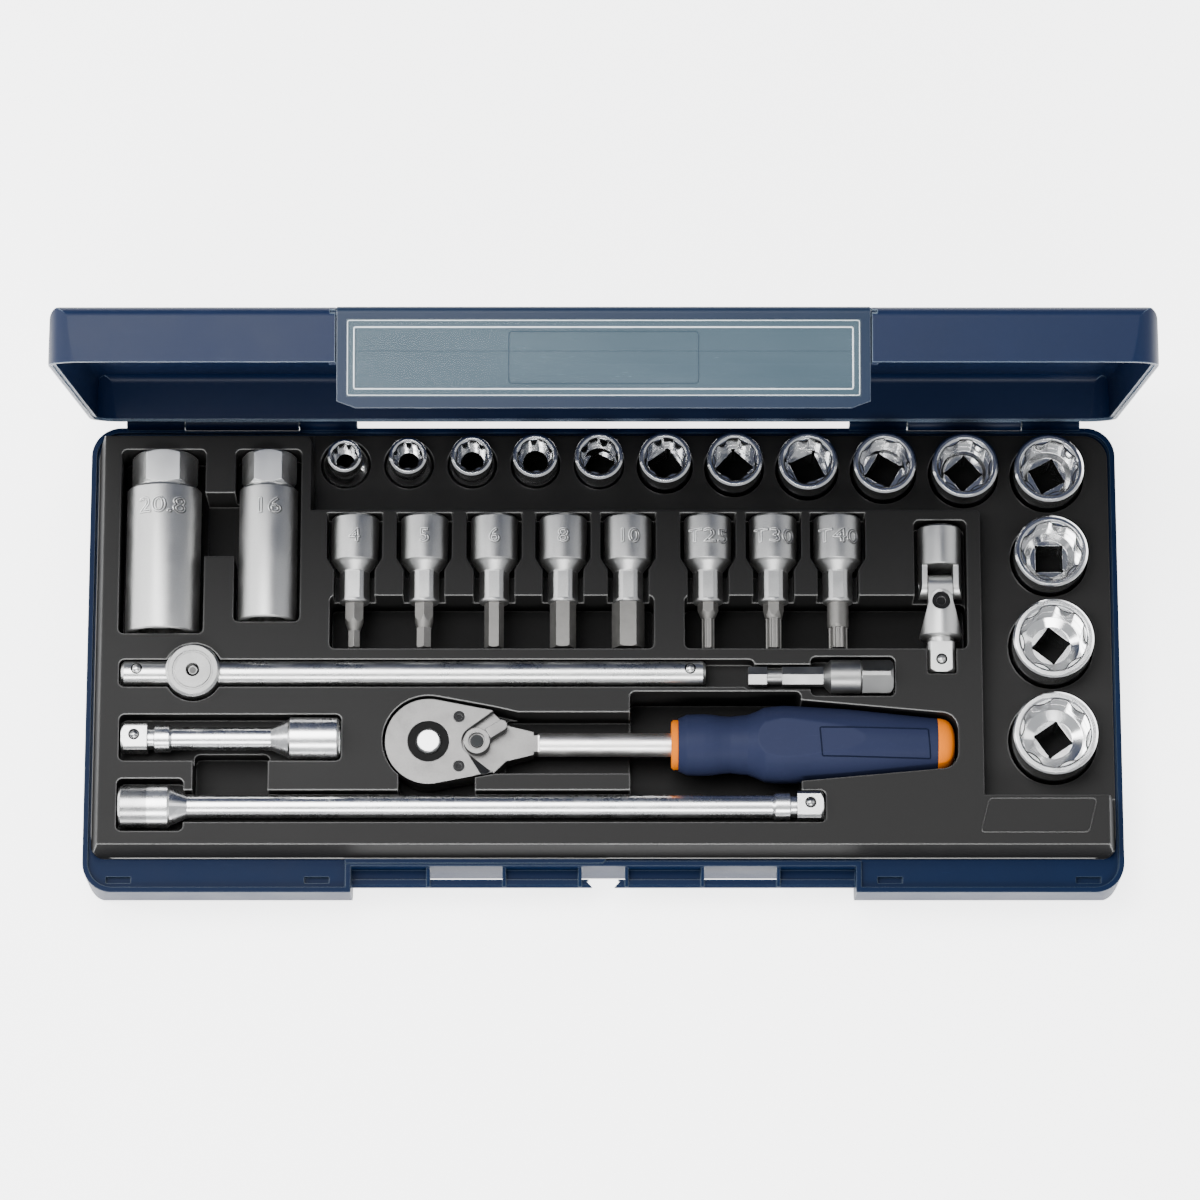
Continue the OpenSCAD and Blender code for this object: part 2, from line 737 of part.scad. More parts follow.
module bar_troughs(g) {
    finger_x = adapter_x0 - 1.7;
    trough(bar_x0 - 0.9, bar_x0 + bar_l + 0.8, bar_y - 5.3, bar_y + 4.7, bar_z - bar_d / 2 - seat_gap, g);
    trough(bar_x0 + bar_l - 4, finger_x + 4, bar_y - 5.3, bar_y + 4.7, bar_z - bar_d / 2 - 2, g);
    well(head_x, bar_y, head_d / 2 + side_gap, bar_z - head_down - seat_gap, g);
    well(head_x, bar_y, drive_sq / sqrt(2) + side_gap, bar_z - head_down - drive_l - seat_gap, g);
    trough(adapter_x0 - 1.5, adapter_x0 + 26, adapter_y - 5, adapter_y + 4.2, adapter_z - 4, g);
    trough(adapter_x0 + 22, adapter_x0 + adapter_l + 0.6, adapter_y - 7.3, adapter_y + 7,
           adapter_z - drive_sq / sqrt(2) - seat_gap, g);
}

module extension_troughs(g) {
    half = ext_end_d / 2 + side_gap;
    wide_l = ext_end_l + 4.6;
    trough(short_x0 - side_gap, short_x0 + short_l + 0.7, short_y - half, short_y + half,
           short_z - ext_end_d / 2 - seat_gap, g);
    trough(long_x0 - side_gap, long_x0 + wide_l, long_y - 9.2, long_y + 9.7,
           long_z - ext_end_d / 2 - seat_gap, g);
    trough(long_x0 + wide_l - 4, long_x0 + long_l + 0.8, long_y - 6, long_y + 5.5,
           long_z - drive_sq / 2 - seat_gap, g);
    trough(long_x0 + 25.6, long_x0 + 52.1, long_y, short_y - 4, recess_z + 4, g);
}

// Plan of the pocket that follows the ratchet's head into the channel for its shank
module ratchet_seat(g) {
    gap = side_gap + g;
    end_x = shoulder_x + 9;
    circle(ratchet_r + gap);
    polygon([
        [0, ratchet_r + gap], [head_tangent, tangent_y + gap], [shoulder_x + gap, shoulder_y + gap],
        [end_x, channel_rear + g], [end_x, -channel_front - g], [shoulder_x + gap, -shoulder_y - gap],
        [head_tangent, -tangent_y - gap], [0, -ratchet_r - gap]
    ]);
}

// Plan of the pocket that narrows with the grip and rounds off its cap
module grip_seat(x0, g) {
    gap = side_gap + g;
    x1 = grip_x0 + grip_l;
    side = concat(
        [[x0, grip_half + gap], [max(x0 + 1, x1 - 50), grip_half + gap]],
        [for (a = [0:15:90]) [x1 + (cap_l + gap) * sin(a), cap_r(a) + gap]]
    );
    polygon(concat(side, [for (k = [len(side) - 1:-1:0]) [side[k][0], -side[k][1]]]));
}

module ratchet_troughs(g) {
    head_floor = ratchet_z - ratchet_t / 2 - seat_gap;
    channel_x = ratchet_x + 26.9;
    finger_x0 = ratchet_x + finger_at;
    finger_x1 = finger_x0 + finger_l;
    grip_floor = ratchet_z - grip_h / 2 - seat_gap;
    translate([ratchet_x, ratchet_y, head_floor - g]) linear_extrude(plateau_z - head_floor + g + 1)
        ratchet_seat(g);
    well(ratchet_x, ratchet_y, drive_sq / sqrt(2) + side_gap, head_floor - drive_l - seat_gap, g);
    trough(ratchet_x - 10.5, ratchet_x + 16.5, ratchet_y - 20.8, ratchet_y, recess_z + 5, g);
    trough(channel_x, finger_x0 + 4, ratchet_y - channel_front, ratchet_y + channel_rear, recess_z + 5, g);
    trough(finger_x0, finger_x1, ratchet_y - 20, ratchet_y + 17.7, recess_z, g);
    translate([ratchet_x, ratchet_y, grip_floor - g]) linear_extrude(plateau_z - grip_floor + g + 1)
        grip_seat(finger_at + finger_l - 4, g);
}

module all_pockets(g) {
    socket_wells(g);
    plug_troughs(g);
    bit_troughs(g);
    ujoint_troughs(g);
    bar_troughs(g);
    extension_troughs(g);
    ratchet_troughs(g);
}

// Everything under the formed sheet's upper face, clear of the case's inner walls
module tray_form() {
    wall_in = 0.9;
    plateau(0);
    translate([0, (tray_front + tray_rear) / 2, shell_wall])
        linear_extrude(terrace_z - shell_wall)
            rounded_rect(2 * tray_x - 2 * wall_in, tray_rear - tray_front - 2 * wall_in, tray_r - wall_in);
}

// The whole formed sheet: raised plateau, flat rim and terrace, and the pockets hanging below
module formed_sheet() {
    difference() {
        union() {
            difference() {
                union() {
                    plateau(0);
                    translate([0, (tray_front + tray_rear) / 2, terrace_z - tray_t])
                        linear_extrude(tray_t) rounded_rect(2 * tray_x, tray_rear - tray_front, tray_r);
                }
                translate([0, 0, -eps]) plateau(tray_t);
            }
            intersection() {
                tray_form();
                all_pockets(tray_t);
            }
        }
        all_pockets(0);
    }
}

// Room of the L-shaped terrace; it ends halfway under the plateau's walls
module shelf_room() {
    under = tray_t / 2;
    box(shelf_left - under, right_x, shelf_rear_y - under, rear_y, 0, terrace_z);
    box(column_left - under, right_x, column_front - under, rear_y, 0, terrace_z);
}

module tray() {
    color([0.2, 0.2, 0.2]) difference() {
        formed_sheet();
        shelf_room();
    }
}

module socket_shelf() {
    color([0.2, 0.2, 0.2]) intersection() {
        formed_sheet();
        shelf_room();
    }
}

// ---------- standing sockets ----------

module socket(i) {
    size = socket_sizes[i];
    l = socket_len(i);
    top_r = socket_d(i) / 2;
    foot_r = foot_d(i) / 2;
    foot_l = top_r < foot_r ? l - 13 : l * 0.42;
    nose_l = top_r < foot_r ? 9.6 : l - foot_l - (top_r - foot_r);
    edge = 0.7;
    hole_l = drive_l + 0.5;
    small = size < 11.5;
    floor_l = 1.8;
    seat_r = small ? size / 2 * 0.82 : size / 2 * 0.95;
    neck_r = small ? seat_r : min(seat_r, drive_sq / sqrt(2) + 0.1);
    hole_top = size < 12.5 ? hole_l : l - mouth_l - floor_l;
    translate([socket_x(i), socket_y(i), socket_z]) color([0.86, 0.87, 0.88]) difference() {
        rotate_extrude() polygon([
            [0, 0], [foot_r - edge, 0], [foot_r, edge], [foot_r, foot_l],
            [top_r, l - nose_l], [top_r, l - edge], [top_r - edge, l], [0, l]
        ]);
        translate([0, 0, -1]) rotate(socket_turns[i]) drive_hole(hole_top + 1);
        translate([0, 0, l - mouth_l]) rotate(socket_turns[i] + 15) linear_extrude(mouth_l + 1)
            wave_outline(size);
        translate([0, 0, hole_top - eps]) cylinder(r1 = neck_r, r2 = seat_r, h = l - mouth_l - hole_top + 2 * eps);
        translate([0, 0, l - edge])
            cylinder(r1 = size / sqrt(3) * 0.96, r2 = size / sqrt(3) * 0.96 + edge, h = edge + eps);
    }
}

// ---------- spark plug sockets ----------

module plug_socket(x, z, d, l, hex_flats, size) {
    front = plug_rear - l;
    edge = 1;
    mouth = 18;
    bore_r = d / 2 - 2.2;
    waist = 0.8;
    body_l = l - plug_hex_l;
    translate([x, front, z]) color([0.8, 0.81, 0.82]) difference() {
        union() {
            turned_y() polygon([
                [0, 0], [0, d / 2 - edge / 2], [edge / 2, d / 2], [body_l - edge, d / 2],
                [body_l, d / 2 - edge], [body_l + waist, hex_flats / 2 - 0.3], [body_l + waist, 0]
            ]);
            intersection() {
                translate([0, l, 0]) rotate([90, 0, 0]) linear_extrude(plug_hex_l - waist + eps)
                    hexagon(hex_flats);
                turned_y() polygon([
                    [0, 0], [0, d], [body_l, d], [body_l + waist, hex_flats / 2],
                    [body_l + waist + edge, hex_flats / sqrt(3)], [l - edge, hex_flats / sqrt(3)],
                    [l, hex_flats / 2], [l, 0]
                ]);
            }
        }
        translate([0, mouth, 0]) rotate([90, 0, 0]) linear_extrude(mouth + 1) rotate(30) wave_outline(size);
        translate([0, mouth - eps, 0]) rotate([-90, 0, 0]) cylinder(r = bore_r - 0.3, h = l - mouth - drive_l - 3);
        translate([0, l - drive_l - 4, 0]) rotate([-90, 0, 0]) drive_hole(drive_l + 5);
    }
}

// Rubber sleeve that grips the spark plug, seated in the bore behind the mouth
module plug_insert(x, z, d, l) {
    mouth = 18;
    outer = d / 2 - 2.5;
    inner = outer - 2.4;
    insert_l = 14;
    translate([x, plug_rear - l + mouth + 1, z]) color([0.1, 0.1, 0.1])
        turned_y() polygon([[0, inner + 0.8], [0, outer], [insert_l, outer], [insert_l, inner], [1.5, inner]]);
}

// ---------- bit sockets ----------

module bit_holder(i) {
    shoulder = 3;
    edge = 0.8;
    l = holder_l + neck_l;
    flat = neck_d / 2 - 0.35;
    flat_start = 1.2;
    flat_end = 3.3;
    bore = [shank_hex, shank_hex, 6, 8, shank_hex, shank_hex, shank_hex, 7.6][i];
    body_y = neck_l;
    translate([holder_xs[i], holder_rear - l, holder_z]) color([0.8, 0.81, 0.82]) difference() {
        turned_y() polygon([
            [0, 0], [0, neck_d / 2 - edge / 2], [edge / 2, neck_d / 2], [body_y - shoulder, neck_d / 2],
            [body_y, holder_d / 2 - edge], [body_y + edge, holder_d / 2], [l - edge, holder_d / 2],
            [l, holder_d / 2 - edge], [l, 0]
        ]);
        for (a = [30:60:330]) rotate([0, a, 0])
            translate([flat, flat_start, -neck_d / 2]) cube([neck_d, body_y - flat_start - flat_end, neck_d]);
        translate([0, l - drive_l, 0]) rotate([-90, 0, 0]) drive_hole(drive_l + 1);
        rotate([0, bit_turns[i], 0]) translate([0, bit_seat, 0]) rotate([90, 0, 0])
            linear_extrude(bit_seat + 1) bit_section(i, bore);
    }
}

// Cross-section of the stretch of a bit that sits in its holder
module bit_section(i, across) {
    if (i == 7) circle(d = across);
    else hexagon(i == 4 ? 10 * 0.8 : across);
}

module bit(i, across, tip_l, star) {
    front = holder_rear - holder_l - neck_l;
    seat = [shank_hex, shank_hex, 6, 8, shank_hex, shank_hex, shank_hex, 7.6][i];
    stepped = tip_l < bit_out - 1;
    cone_l = star ? 3 : 4.3;
    shank_out = stepped ? bit_out - tip_l - cone_l : 0;
    cone_r = across / 2 * 1.05;
    edge = 0.6;
    translate([holder_xs[i], front, holder_z]) rotate([0, bit_turns[i], 0]) color([0.5, 0.51, 0.53]) {
        translate([0, bit_seat, 0]) rotate([90, 0, 0]) linear_extrude(bit_seat + shank_out) bit_section(i, seat);
        if (stepped)
            intersection() {
                rotate([90, 0, 0]) translate([0, 0, shank_out - eps]) linear_extrude(cone_l + 2 * eps)
                    bit_section(i, seat);
                rotate([90, 0, 0]) translate([0, 0, shank_out - eps])
                    cylinder(r1 = seat / sqrt(3), r2 = cone_r, h = cone_l + 2 * eps);
            }
        rotate([90, 0, 0]) translate([0, 0, bit_out - tip_l]) intersection() {
            linear_extrude(tip_l) {
                if (star) star_outline(across);
                else hexagon(across);
            }
            union() {
                cylinder(r = across, h = tip_l - edge);
                translate([0, 0, tip_l - edge])
                    cylinder(r1 = across / sqrt(3) + 0.05, r2 = across / sqrt(3) - edge, h = edge);
            }
        }
    }
}

// ---------- universal joint ----------

module ujoint_drive() {
    back = ujoint_rear - ujoint_slot_l;
    ear_end = ujoint_yaw_y + ujoint_cheek;
    translate([ujoint_x, 0, ujoint_z]) color([0.8, 0.81, 0.82]) difference() {
        union() {
            intersection() {
                turned_y() polygon([[ujoint_flare, 0], [ujoint_flare, ujoint_r - 0.6],
                                    [ujoint_flare + 0.6, ujoint_r], [ear_end, ujoint_r], [ear_end, 0]]);
                linear_extrude(2 * ujoint_r, center = true) {
                    polygon([
                        [-ujoint_r, ujoint_flare], [ujoint_r, ujoint_flare],
                        [ujoint_cheek, ujoint_yaw_y], [-ujoint_cheek, ujoint_yaw_y]
                    ]);
                    translate([0, ujoint_yaw_y]) circle(ujoint_cheek);
                }
            }
            translate([0, ujoint_neck, 0]) rotate([-90, 0, 0])
                cylinder(r = drive_sq / 2, h = ujoint_flare - ujoint_neck + 1);
            translate([0, ujoint_neck + eps, 0]) rotate([90, 0, 0]) drive_square(ujoint_neck - ujoint_front);
            translate([0, ujoint_front + 4.6, drive_sq / 2 - ball_r + 0.7]) sphere(ball_r);
        }
        box(-ujoint_r - 1, ujoint_r + 1, back, ear_end + 1, -ujoint_slot, ujoint_slot);
        translate([0, ujoint_yaw_y, -ujoint_r - 1]) cylinder(r = ujoint_yaw_r + run_gap, h = 2 * ujoint_r + 2);
    }
}

module ujoint_block() {
    c = ujoint_cheek;
    translate([ujoint_x, 0, ujoint_z]) color([0.8, 0.81, 0.82]) difference() {
        intersection() {
            union() {
                box(-c, c, ujoint_yaw_y, ujoint_pitch_y, -c, c);
                translate([0, ujoint_yaw_y, -c]) cylinder(r = c, h = 2 * c);
                along_x(c, -c, c, ujoint_pitch_y, 0);
            }
            box(-c, c, ujoint_yaw_y - c, ujoint_pitch_y + c, -c, c);
        }
        along_x(ujoint_pitch_r, -c - 1, c + 1, ujoint_pitch_y, 0);
        translate([0, ujoint_yaw_y, -c - 1]) cylinder(r = ujoint_yaw_r, h = 2 * c + 2);
    }
}

// The two crossing pins of the joint, one behind the other
module ujoint_pins() {
    reach = ujoint_r - 0.6;
    recess = 1.1;
    translate([ujoint_x, 0, ujoint_z]) color([0.12, 0.12, 0.12]) {
        along_x(ujoint_pitch_r, -reach, reach, ujoint_pitch_y, 0);
        translate([0, ujoint_yaw_y, -ujoint_r + recess]) difference() {
            cylinder(r = ujoint_yaw_r, h = 2 * (ujoint_r - recess));
            translate([0, 0, 2 * (ujoint_r - recess) - 0.8]) cylinder(r = 1.6, h = 1);
        }
    }
}

module ujoint_socket() {
    arm_h = ujoint_cheek;
    edge = 0.7;
    translate([ujoint_x, 0, ujoint_z]) color([0.8, 0.81, 0.82]) difference() {
        union() {
            turned_y() polygon([
                [ujoint_body, 0], [ujoint_body, ujoint_r - edge / 2], [ujoint_body + edge / 2, ujoint_r],
                [ujoint_rear - edge, ujoint_r], [ujoint_rear, ujoint_r - edge], [ujoint_rear, 0]
            ]);
            for (s = [-1, 1]) intersection() {
                translate([0, ujoint_pitch_y - arm_h, 0]) rotate([-90, 0, 0])
                    cylinder(r = ujoint_r, h = ujoint_body - ujoint_pitch_y + arm_h + 1);
                union() {
                    box(s > 0 ? ujoint_slot : -ujoint_r, s > 0 ? ujoint_r : -ujoint_slot,
                        ujoint_pitch_y, ujoint_body + 0.5, -arm_h, arm_h);
                    along_x(arm_h, s > 0 ? ujoint_slot : -ujoint_r, s > 0 ? ujoint_r : -ujoint_slot,
                            ujoint_pitch_y, 0);
                }
            }
        }
        along_x(ujoint_pitch_r + run_gap, -ujoint_r - 1, ujoint_r + 1, ujoint_pitch_y, 0);
        translate([0, ujoint_rear - drive_l, 0]) rotate([-90, 0, 0]) drive_hole(drive_l + 1);
    }
}

// ---------- sliding bar, extensions and adapter ----------

module sliding_bar() {
    edge = 1;
    ball_in = 5.5;
    translate([bar_x0, bar_y, bar_z]) color([0.86, 0.87, 0.88]) {
        turned_x() polygon([
            [0, 0], [0, bar_d / 2 - edge], [edge, bar_d / 2], [bar_l - edge, bar_d / 2],
            [bar_l, bar_d / 2 - edge], [bar_l, 0]
        ]);
        for (x = [ball_in, bar_l - ball_in]) translate([x, 0.9, bar_d / 2 - ball_r + 0.6]) sphere(ball_r);
    }
}

module sliding_head() {
    r = head_d / 2;
    edge = 0.8;
    dimple_r = 2.5;
    groove_r = r - 3.2;
    groove_w = 0.7;
    low = -head_down;
    translate([head_x, bar_y, bar_z]) color([0.86, 0.87, 0.88]) difference() {
        union() {
            rotate_extrude() polygon([
                [0, low], [r - 3, low], [r, low + 3], [r, head_up - edge], [r - edge, head_up], [0, head_up]
            ]);
            translate([0, 0, low + eps]) mirror([0, 0, 1]) drive_square(drive_l);
            translate([drive_sq / 2 - ball_r + 0.7, 0, low - drive_l / 2]) sphere(ball_r);
        }
        along_x(bar_d / 2 + run_gap, -r - 1, r + 1, 0, 0);
        translate([0, 0, head_up - 1.2]) cylinder(r1 = dimple_r - 1, r2 = dimple_r, h = 1.3);
        rotate_extrude() polygon([
            [groove_r, head_up + 1], [groove_r, head_up - 0.5], [groove_r + groove_w, head_up - 0.5],
            [groove_r + groove_w, head_up + 1]
        ]);
    }
}

// Extension along +X with its socket end at the given side
module extension(l, square_l, end_first) {
    edge = 0.8;
    flare_l = 6;
    boss_l = 6;
    collar_l2 = 2.6;
    boss_r = drive_sq / 2;
    place = end_first ? 0 : l;
    body_l = l - square_l;
    translate([place, 0, 0]) mirror([end_first ? 0 : 1, 0, 0]) difference() {
        union() {
            turned_x() polygon([
                [0, 0], [0, ext_end_d / 2 - edge], [edge, ext_end_d / 2],
                [ext_end_l - edge, ext_end_d / 2], [ext_end_l, ext_end_d / 2 - edge],
                [ext_end_l + flare_l, shaft_d / 2], [body_l - boss_l - collar_l2, shaft_d / 2],
                [body_l - boss_l - collar_l2 + 1, boss_r], [body_l - collar_l2, boss_r],
                [body_l - collar_l2 + 0.3, boss_r - 1], [body_l, boss_r - 1], [body_l, 0]
            ]);
            translate([body_l - eps, 0, 0]) rotate([0, 90, 0]) drive_square(square_l);
            translate([l - square_l / 2, 0.6, drive_sq / 2 - ball_r + 0.7]) sphere(ball_r);
        }
        translate([-1, 0, 0]) rotate([0, 90, 0]) drive_hole(drive_l + 1.5);
    }
}

module extension_short() {
    color([0.86, 0.87, 0.88]) translate([short_x0, short_y, short_z]) extension(short_l, ext_square_l, false);
}

module extension_long() {
    color([0.86, 0.87, 0.88]) translate([long_x0, long_y, long_z]) extension(long_l, ext_square_l, true);
}

module bit_adapter() {
    groove_x = 6.7;
    groove_w = 5.3;
    groove_r = 2.7;
    hex_end = 26.5;
    body_x = 28.5;
    body_end = 40.2;
    end_x = adapter_l;
    edge = 0.7;
    translate([adapter_x0, adapter_y, adapter_z]) color([0.8, 0.81, 0.82]) {
        difference() {
            intersection() {
                rotate([0, 90, 0]) linear_extrude(hex_end) hexagon(shank_hex);
                turned_x() polygon([[0, 0], [0, shank_hex / 2 - edge / 2], [edge, shank_hex], [hex_end, shank_hex],
                                    [hex_end, 0]]);
            }
            difference() {
                along_x(shank_hex, groove_x, groove_x + groove_w, 0, 0);
                along_x(groove_r, groove_x - 1, groove_x + groove_w + 1, 0, 0);
            }
        }
        turned_x() polygon([
            [hex_end - eps, 0], [hex_end - eps, shank_hex / 2], [body_x, adapter_r - edge],
            [body_x + edge, adapter_r], [body_end - edge, adapter_r], [body_end, adapter_r - edge], [body_end, 0]
        ]);
        translate([body_end - eps, 0, 0]) rotate([45, 0, 0]) rotate([0, 90, 0])
            drive_square(end_x - body_end);
    }
}

// ---------- ratchet ----------

module at_ratchet() {
    translate([ratchet_x, ratchet_y, ratchet_z]) children();
}

module ratchet_outline() {
    chin_x = 27.4;
    chin_y = 6.5;
    half = shank_d / 2;
    circle(ratchet_r);
    polygon([
        [head_tangent, tangent_y], [shoulder_x, shoulder_y], [chin_x, chin_y], [neck_x, half],
        [neck_x, -half], [chin_x, -chin_y], [shoulder_x, -shoulder_y], [head_tangent, -tangent_y]
    ]);
}

module fan_outline() {
    open_x = 24.5;
    open_y = 12.2;
    translate([lever_x, 0]) circle(fan_r);
    polygon([
        [lever_x - 3.2, fan_r * 0.81], [open_x, open_y], [neck_x + 2, open_y],
        [neck_x + 2, -open_y], [open_x, -open_y], [lever_x - 3.2, -fan_r * 0.81]
    ]);
}

// Long cut from p to q; its section is drawn as [distance to the left, height]
module slope_cut(p, q, section) {
    d = q - p;
    translate([p[0], p[1], 0]) rotate(atan2(d[1], d[0])) rotate([90, 0, 90])
        linear_extrude(norm(d)) polygon(section);
}

module ratchet_body() {
    half_t = ratchet_t / 2;
    floor_t = 1.4;
    ring_r = gear_r + 0.4;
    shank_end = grip_x0 + 40;
    pawl_room = [6.2, 21];
    screw_x = 10.8;
    screw_y = 8.9;
    screw_r = 2;
    color([0.75, 0.76, 0.77]) at_ratchet() difference() {
        union() {
            intersection() {
                translate([0, 0, -half_t]) linear_extrude(ratchet_t) ratchet_outline();
                rotate([90, 0, 0]) linear_extrude(4 * ratchet_r, center = true)
                    polygon([
                        [-ratchet_r - 1, half_t], [shoulder_x, half_t], [shoulder_x + 1, shank_d / 2 + 0.6],
                        [neck_x, shank_d / 2], [neck_x, -shank_d / 2], [shoulder_x, -half_t],
                        [-ratchet_r - 1, -half_t]
                    ]);
            }
            along_x(shank_d / 2, neck_x - 8, shank_end, 0, 0);
        }
        translate([0, 0, fan_z]) linear_extrude(ratchet_t) fan_outline();
        slope_cut(facet_start, facet_end + 0.1 * (facet_end - facet_start), [
            [0, half_t], [5, fan_z], [9, fan_z], [9, half_t + 1], [0, half_t + 1]
        ]);
        translate([0, 0, -half_t - 1]) cylinder(r = ring_r, h = ratchet_t + 1 - floor_t);
        cylinder(r = hub_r + run_gap, h = ratchet_t);
        box(0, pawl_room[1] - 1.6, -pawl_room[0], pawl_room[0], -half_t + 2.4, fan_z - 1);
        translate([lever_x, 0, -half_t + 2.4]) cylinder(r = 2.6 + run_gap, h = ratchet_t);
        for (s = [-1, 1]) translate([screw_x, s * screw_y, half_t - 1.6]) cylinder(r = screw_r, h = 2);
    }
}

module cover_screws() {
    r = 2;
    color([0.1, 0.1, 0.1]) at_ratchet() for (s = [-1, 1])
        translate([10.8, s * 8.9, ratchet_t / 2 - 1.6]) difference() {
            cylinder(r = r, h = 1.2);
            translate([0, 0, 0.4]) cylinder(r = 1.1, h = 1, $fn = 6);
        }
}

module drive_gear() {
    half_t = ratchet_t / 2;
    root_r = gear_r - 0.8;
    top = half_t - 1.4 - part_gap;
    low = -half_t + 1.5 + part_gap;
    bottom_hub = 7.6;
    well_z = 1;
    color([0.2, 0.2, 0.21]) at_ratchet() difference() {
        union() {
            translate([0, 0, low]) linear_extrude(top - low) polygon([
                for (k = [0:2 * gear_teeth - 1])
                    let (a = 180 * k / gear_teeth, r = k % 2 == 0 ? gear_r : root_r) [r * cos(a), r * sin(a)]
            ]);
            translate([0, 0, 0]) cylinder(r = hub_r, h = half_t - 0.7);
            translate([0, 0, -half_t]) cylinder(r = bottom_hub, h = half_t);
            translate([0, 0, -half_t + eps]) mirror([0, 0, 1]) drive_square(drive_l);
            translate([drive_sq / 2 - ball_r + 0.7, 0, -half_t - drive_l / 2]) sphere(ball_r);
        }
        translate([0, 0, well_z]) cylinder(r = button_r + run_gap, h = half_t);
    }
}

// Ring that holds the gear in the head from below
module gear_ring() {
    half_t = ratchet_t / 2;
    color([0.15, 0.15, 0.15]) at_ratchet() translate([0, 0, -half_t]) difference() {
        cylinder(r = gear_r + 0.4, h = 1.5);
        translate([0, 0, -1]) cylinder(r = 7.6 + run_gap, h = 4);
    }
}

// Rocker pawl behind the gear, with a toothed end for each direction
module ratchet_pawl() {
    pivot_x = 15;
    tip_gap = 0.35;
    tilt = 2.2;
    low = -ratchet_t / 2 + 2.4 + part_gap;
    high = fan_z - 1 - part_gap;
    color([0.3, 0.3, 0.31]) at_ratchet() translate([pivot_x, 0, low]) rotate(tilt) translate([-pivot_x, 0, 0])
        linear_extrude(high - low) difference() {
            translate([gear_r - 2.6, -5.4]) square([5.2, 10.8]);
            circle(gear_r + tip_gap);
        }
}

module reversing_lever() {
    half_t = ratchet_t / 2;
    low = fan_z + part_gap;
    high = half_t + 1.1;
    arm_half = 1.9;
    shaft_low = fan_z - 0.6;
    hole_r = 2.9;
    arm_end = lever_reach - arm_half;
    color([0.75, 0.76, 0.77]) at_ratchet() translate([lever_x, 0, 0]) rotate(lever_turn) {
        difference() {
            union() {
                translate([0, 0, low]) cylinder(r = lever_r, h = high - low);
                box(0, arm_end, -arm_half, arm_half, low, high - 0.4);
                box(lever_r, arm_end, -arm_half, arm_half, low, high + 0.5);
                translate([arm_end, 0, low]) cylinder(r = arm_half, h = high + 0.5 - low);
                translate([0, 0, shaft_low]) cylinder(r = 2.6, h = low - shaft_low + eps);
            }
            translate([0, 0, high - 1.4]) cylinder(r = hole_r, h = 3);
        }
    }
}

module release_button() {
    low = 3.7;
    edge = 0.6;
    color([0.88, 0.89, 0.9]) at_ratchet() rotate_extrude() polygon([
        [0, low], [button_r, low], [button_r, button_z - edge], [button_r - edge, button_z], [0, button_z]
    ]);
}

// Grip radius along its length, as stations joined by a smooth curve
grip_stations = [[0, 9.3], [3.5, 10.8], [9, 10.9], [18, 10], [24, 10.6], [32, 13.5], [38, 13.9],
                 [60, 12.6], [91.3, 9.35]];

function ease(t) = t * t * (3 - 2 * t);
function cap_r(a) = grip_end_r - 4 * (1 - cos(a)) - 2 * pow(sin(a), 6);
function grip_radius(x, k = 0) =
    k >= len(grip_stations) - 2 || x <= grip_stations[k + 1][0]
        ? let (a = grip_stations[k], b = grip_stations[k + 1], t = (x - a[0]) / (b[0] - a[0]))
            a[1] + (b[1] - a[1]) * (k < 6 ? ease(t) : t)
        : grip_radius(x, k + 1);

module ratchet_grip() {
    steps = 30;
    bore_l = 40;
    color([0.2, 0.27, 0.45]) at_ratchet() translate([grip_x0, 0, 0]) difference() {
        intersection() {
            turned_x() polygon(concat(
                [[0, 0]],
                [for (k = [0:steps]) let (x = grip_l * k / steps)
                    [x, grip_radius(x * 91.3 / grip_l) * grip_w / 27.8]],
                [[grip_l, 0]]
            ));
            box(-1, grip_l + 1, -grip_half, grip_half, -grip_h / 2, grip_h / 2);
        }
        along_x(shank_d / 2, -1, bore_l, 0, 0);
    }
}

module grip_collar() {
    r = 8.8;
    edge = 0.8;
    color([0.95, 0.5, 0.12]) at_ratchet() translate([grip_x0 - collar_l, 0, 0]) difference() {
        turned_x() polygon([[0, 0], [0, r - edge], [edge, r], [collar_l, r], [collar_l, 0]]);
        along_x(shank_d / 2, -1, collar_l + 1, 0, 0);
    }
}

module grip_cap() {
    color([0.95, 0.5, 0.12]) at_ratchet() translate([grip_x0 + grip_l, 0, 0])
        turned_x() polygon(concat(
            [[0, 0]],
            [for (a = [0:10:90]) [cap_l * sin(a), cap_r(a)]],
            [[cap_l, 0]]
        ));
}

base_shell();
tray();
socket_shelf();
lid_shell();
hinge_pins();
latch_flap();
latch_window();
socket(0);  // socket_08
socket(1);  // socket_09
socket(2);  // socket_10
socket(3);  // socket_11
socket(4);  // socket_12
socket(5);  // socket_13
socket(6);  // socket_14
socket(7);  // socket_15
socket(8);  // socket_16
socket(9);  // socket_17
socket(10);  // socket_18
socket(11);  // socket_19
socket(12);  // socket_21
socket(13);  // socket_22
plug_socket(plug_large_x, plug_large_z, plug_large_d, plug_l, plug_hex, plug_size);  // plug_socket_large
plug_socket(plug_small_x, plug_small_z, plug_small_d, plug_small_l, plug_small_hex, plug_small_size);  // plug_socket_small
plug_insert(plug_large_x, plug_large_z, plug_large_d, plug_l);  // plug_insert_large
plug_insert(plug_small_x, plug_small_z, plug_small_d, plug_small_l);  // plug_insert_small
bit_holder(0);  // bit_holder_1
bit_holder(1);  // bit_holder_2
bit_holder(2);  // bit_holder_3
bit_holder(3);  // bit_holder_4
bit_holder(4);  // bit_holder_5
bit_holder(5);  // bit_holder_6
bit_holder(6);  // bit_holder_7
bit_holder(7);  // bit_holder_8
bit(0, 4, 6.4, false);  // hex_bit_4
bit(1, 5, 7.4, false);  // hex_bit_5
bit(2, 6, bit_out, false);  // hex_bit_6
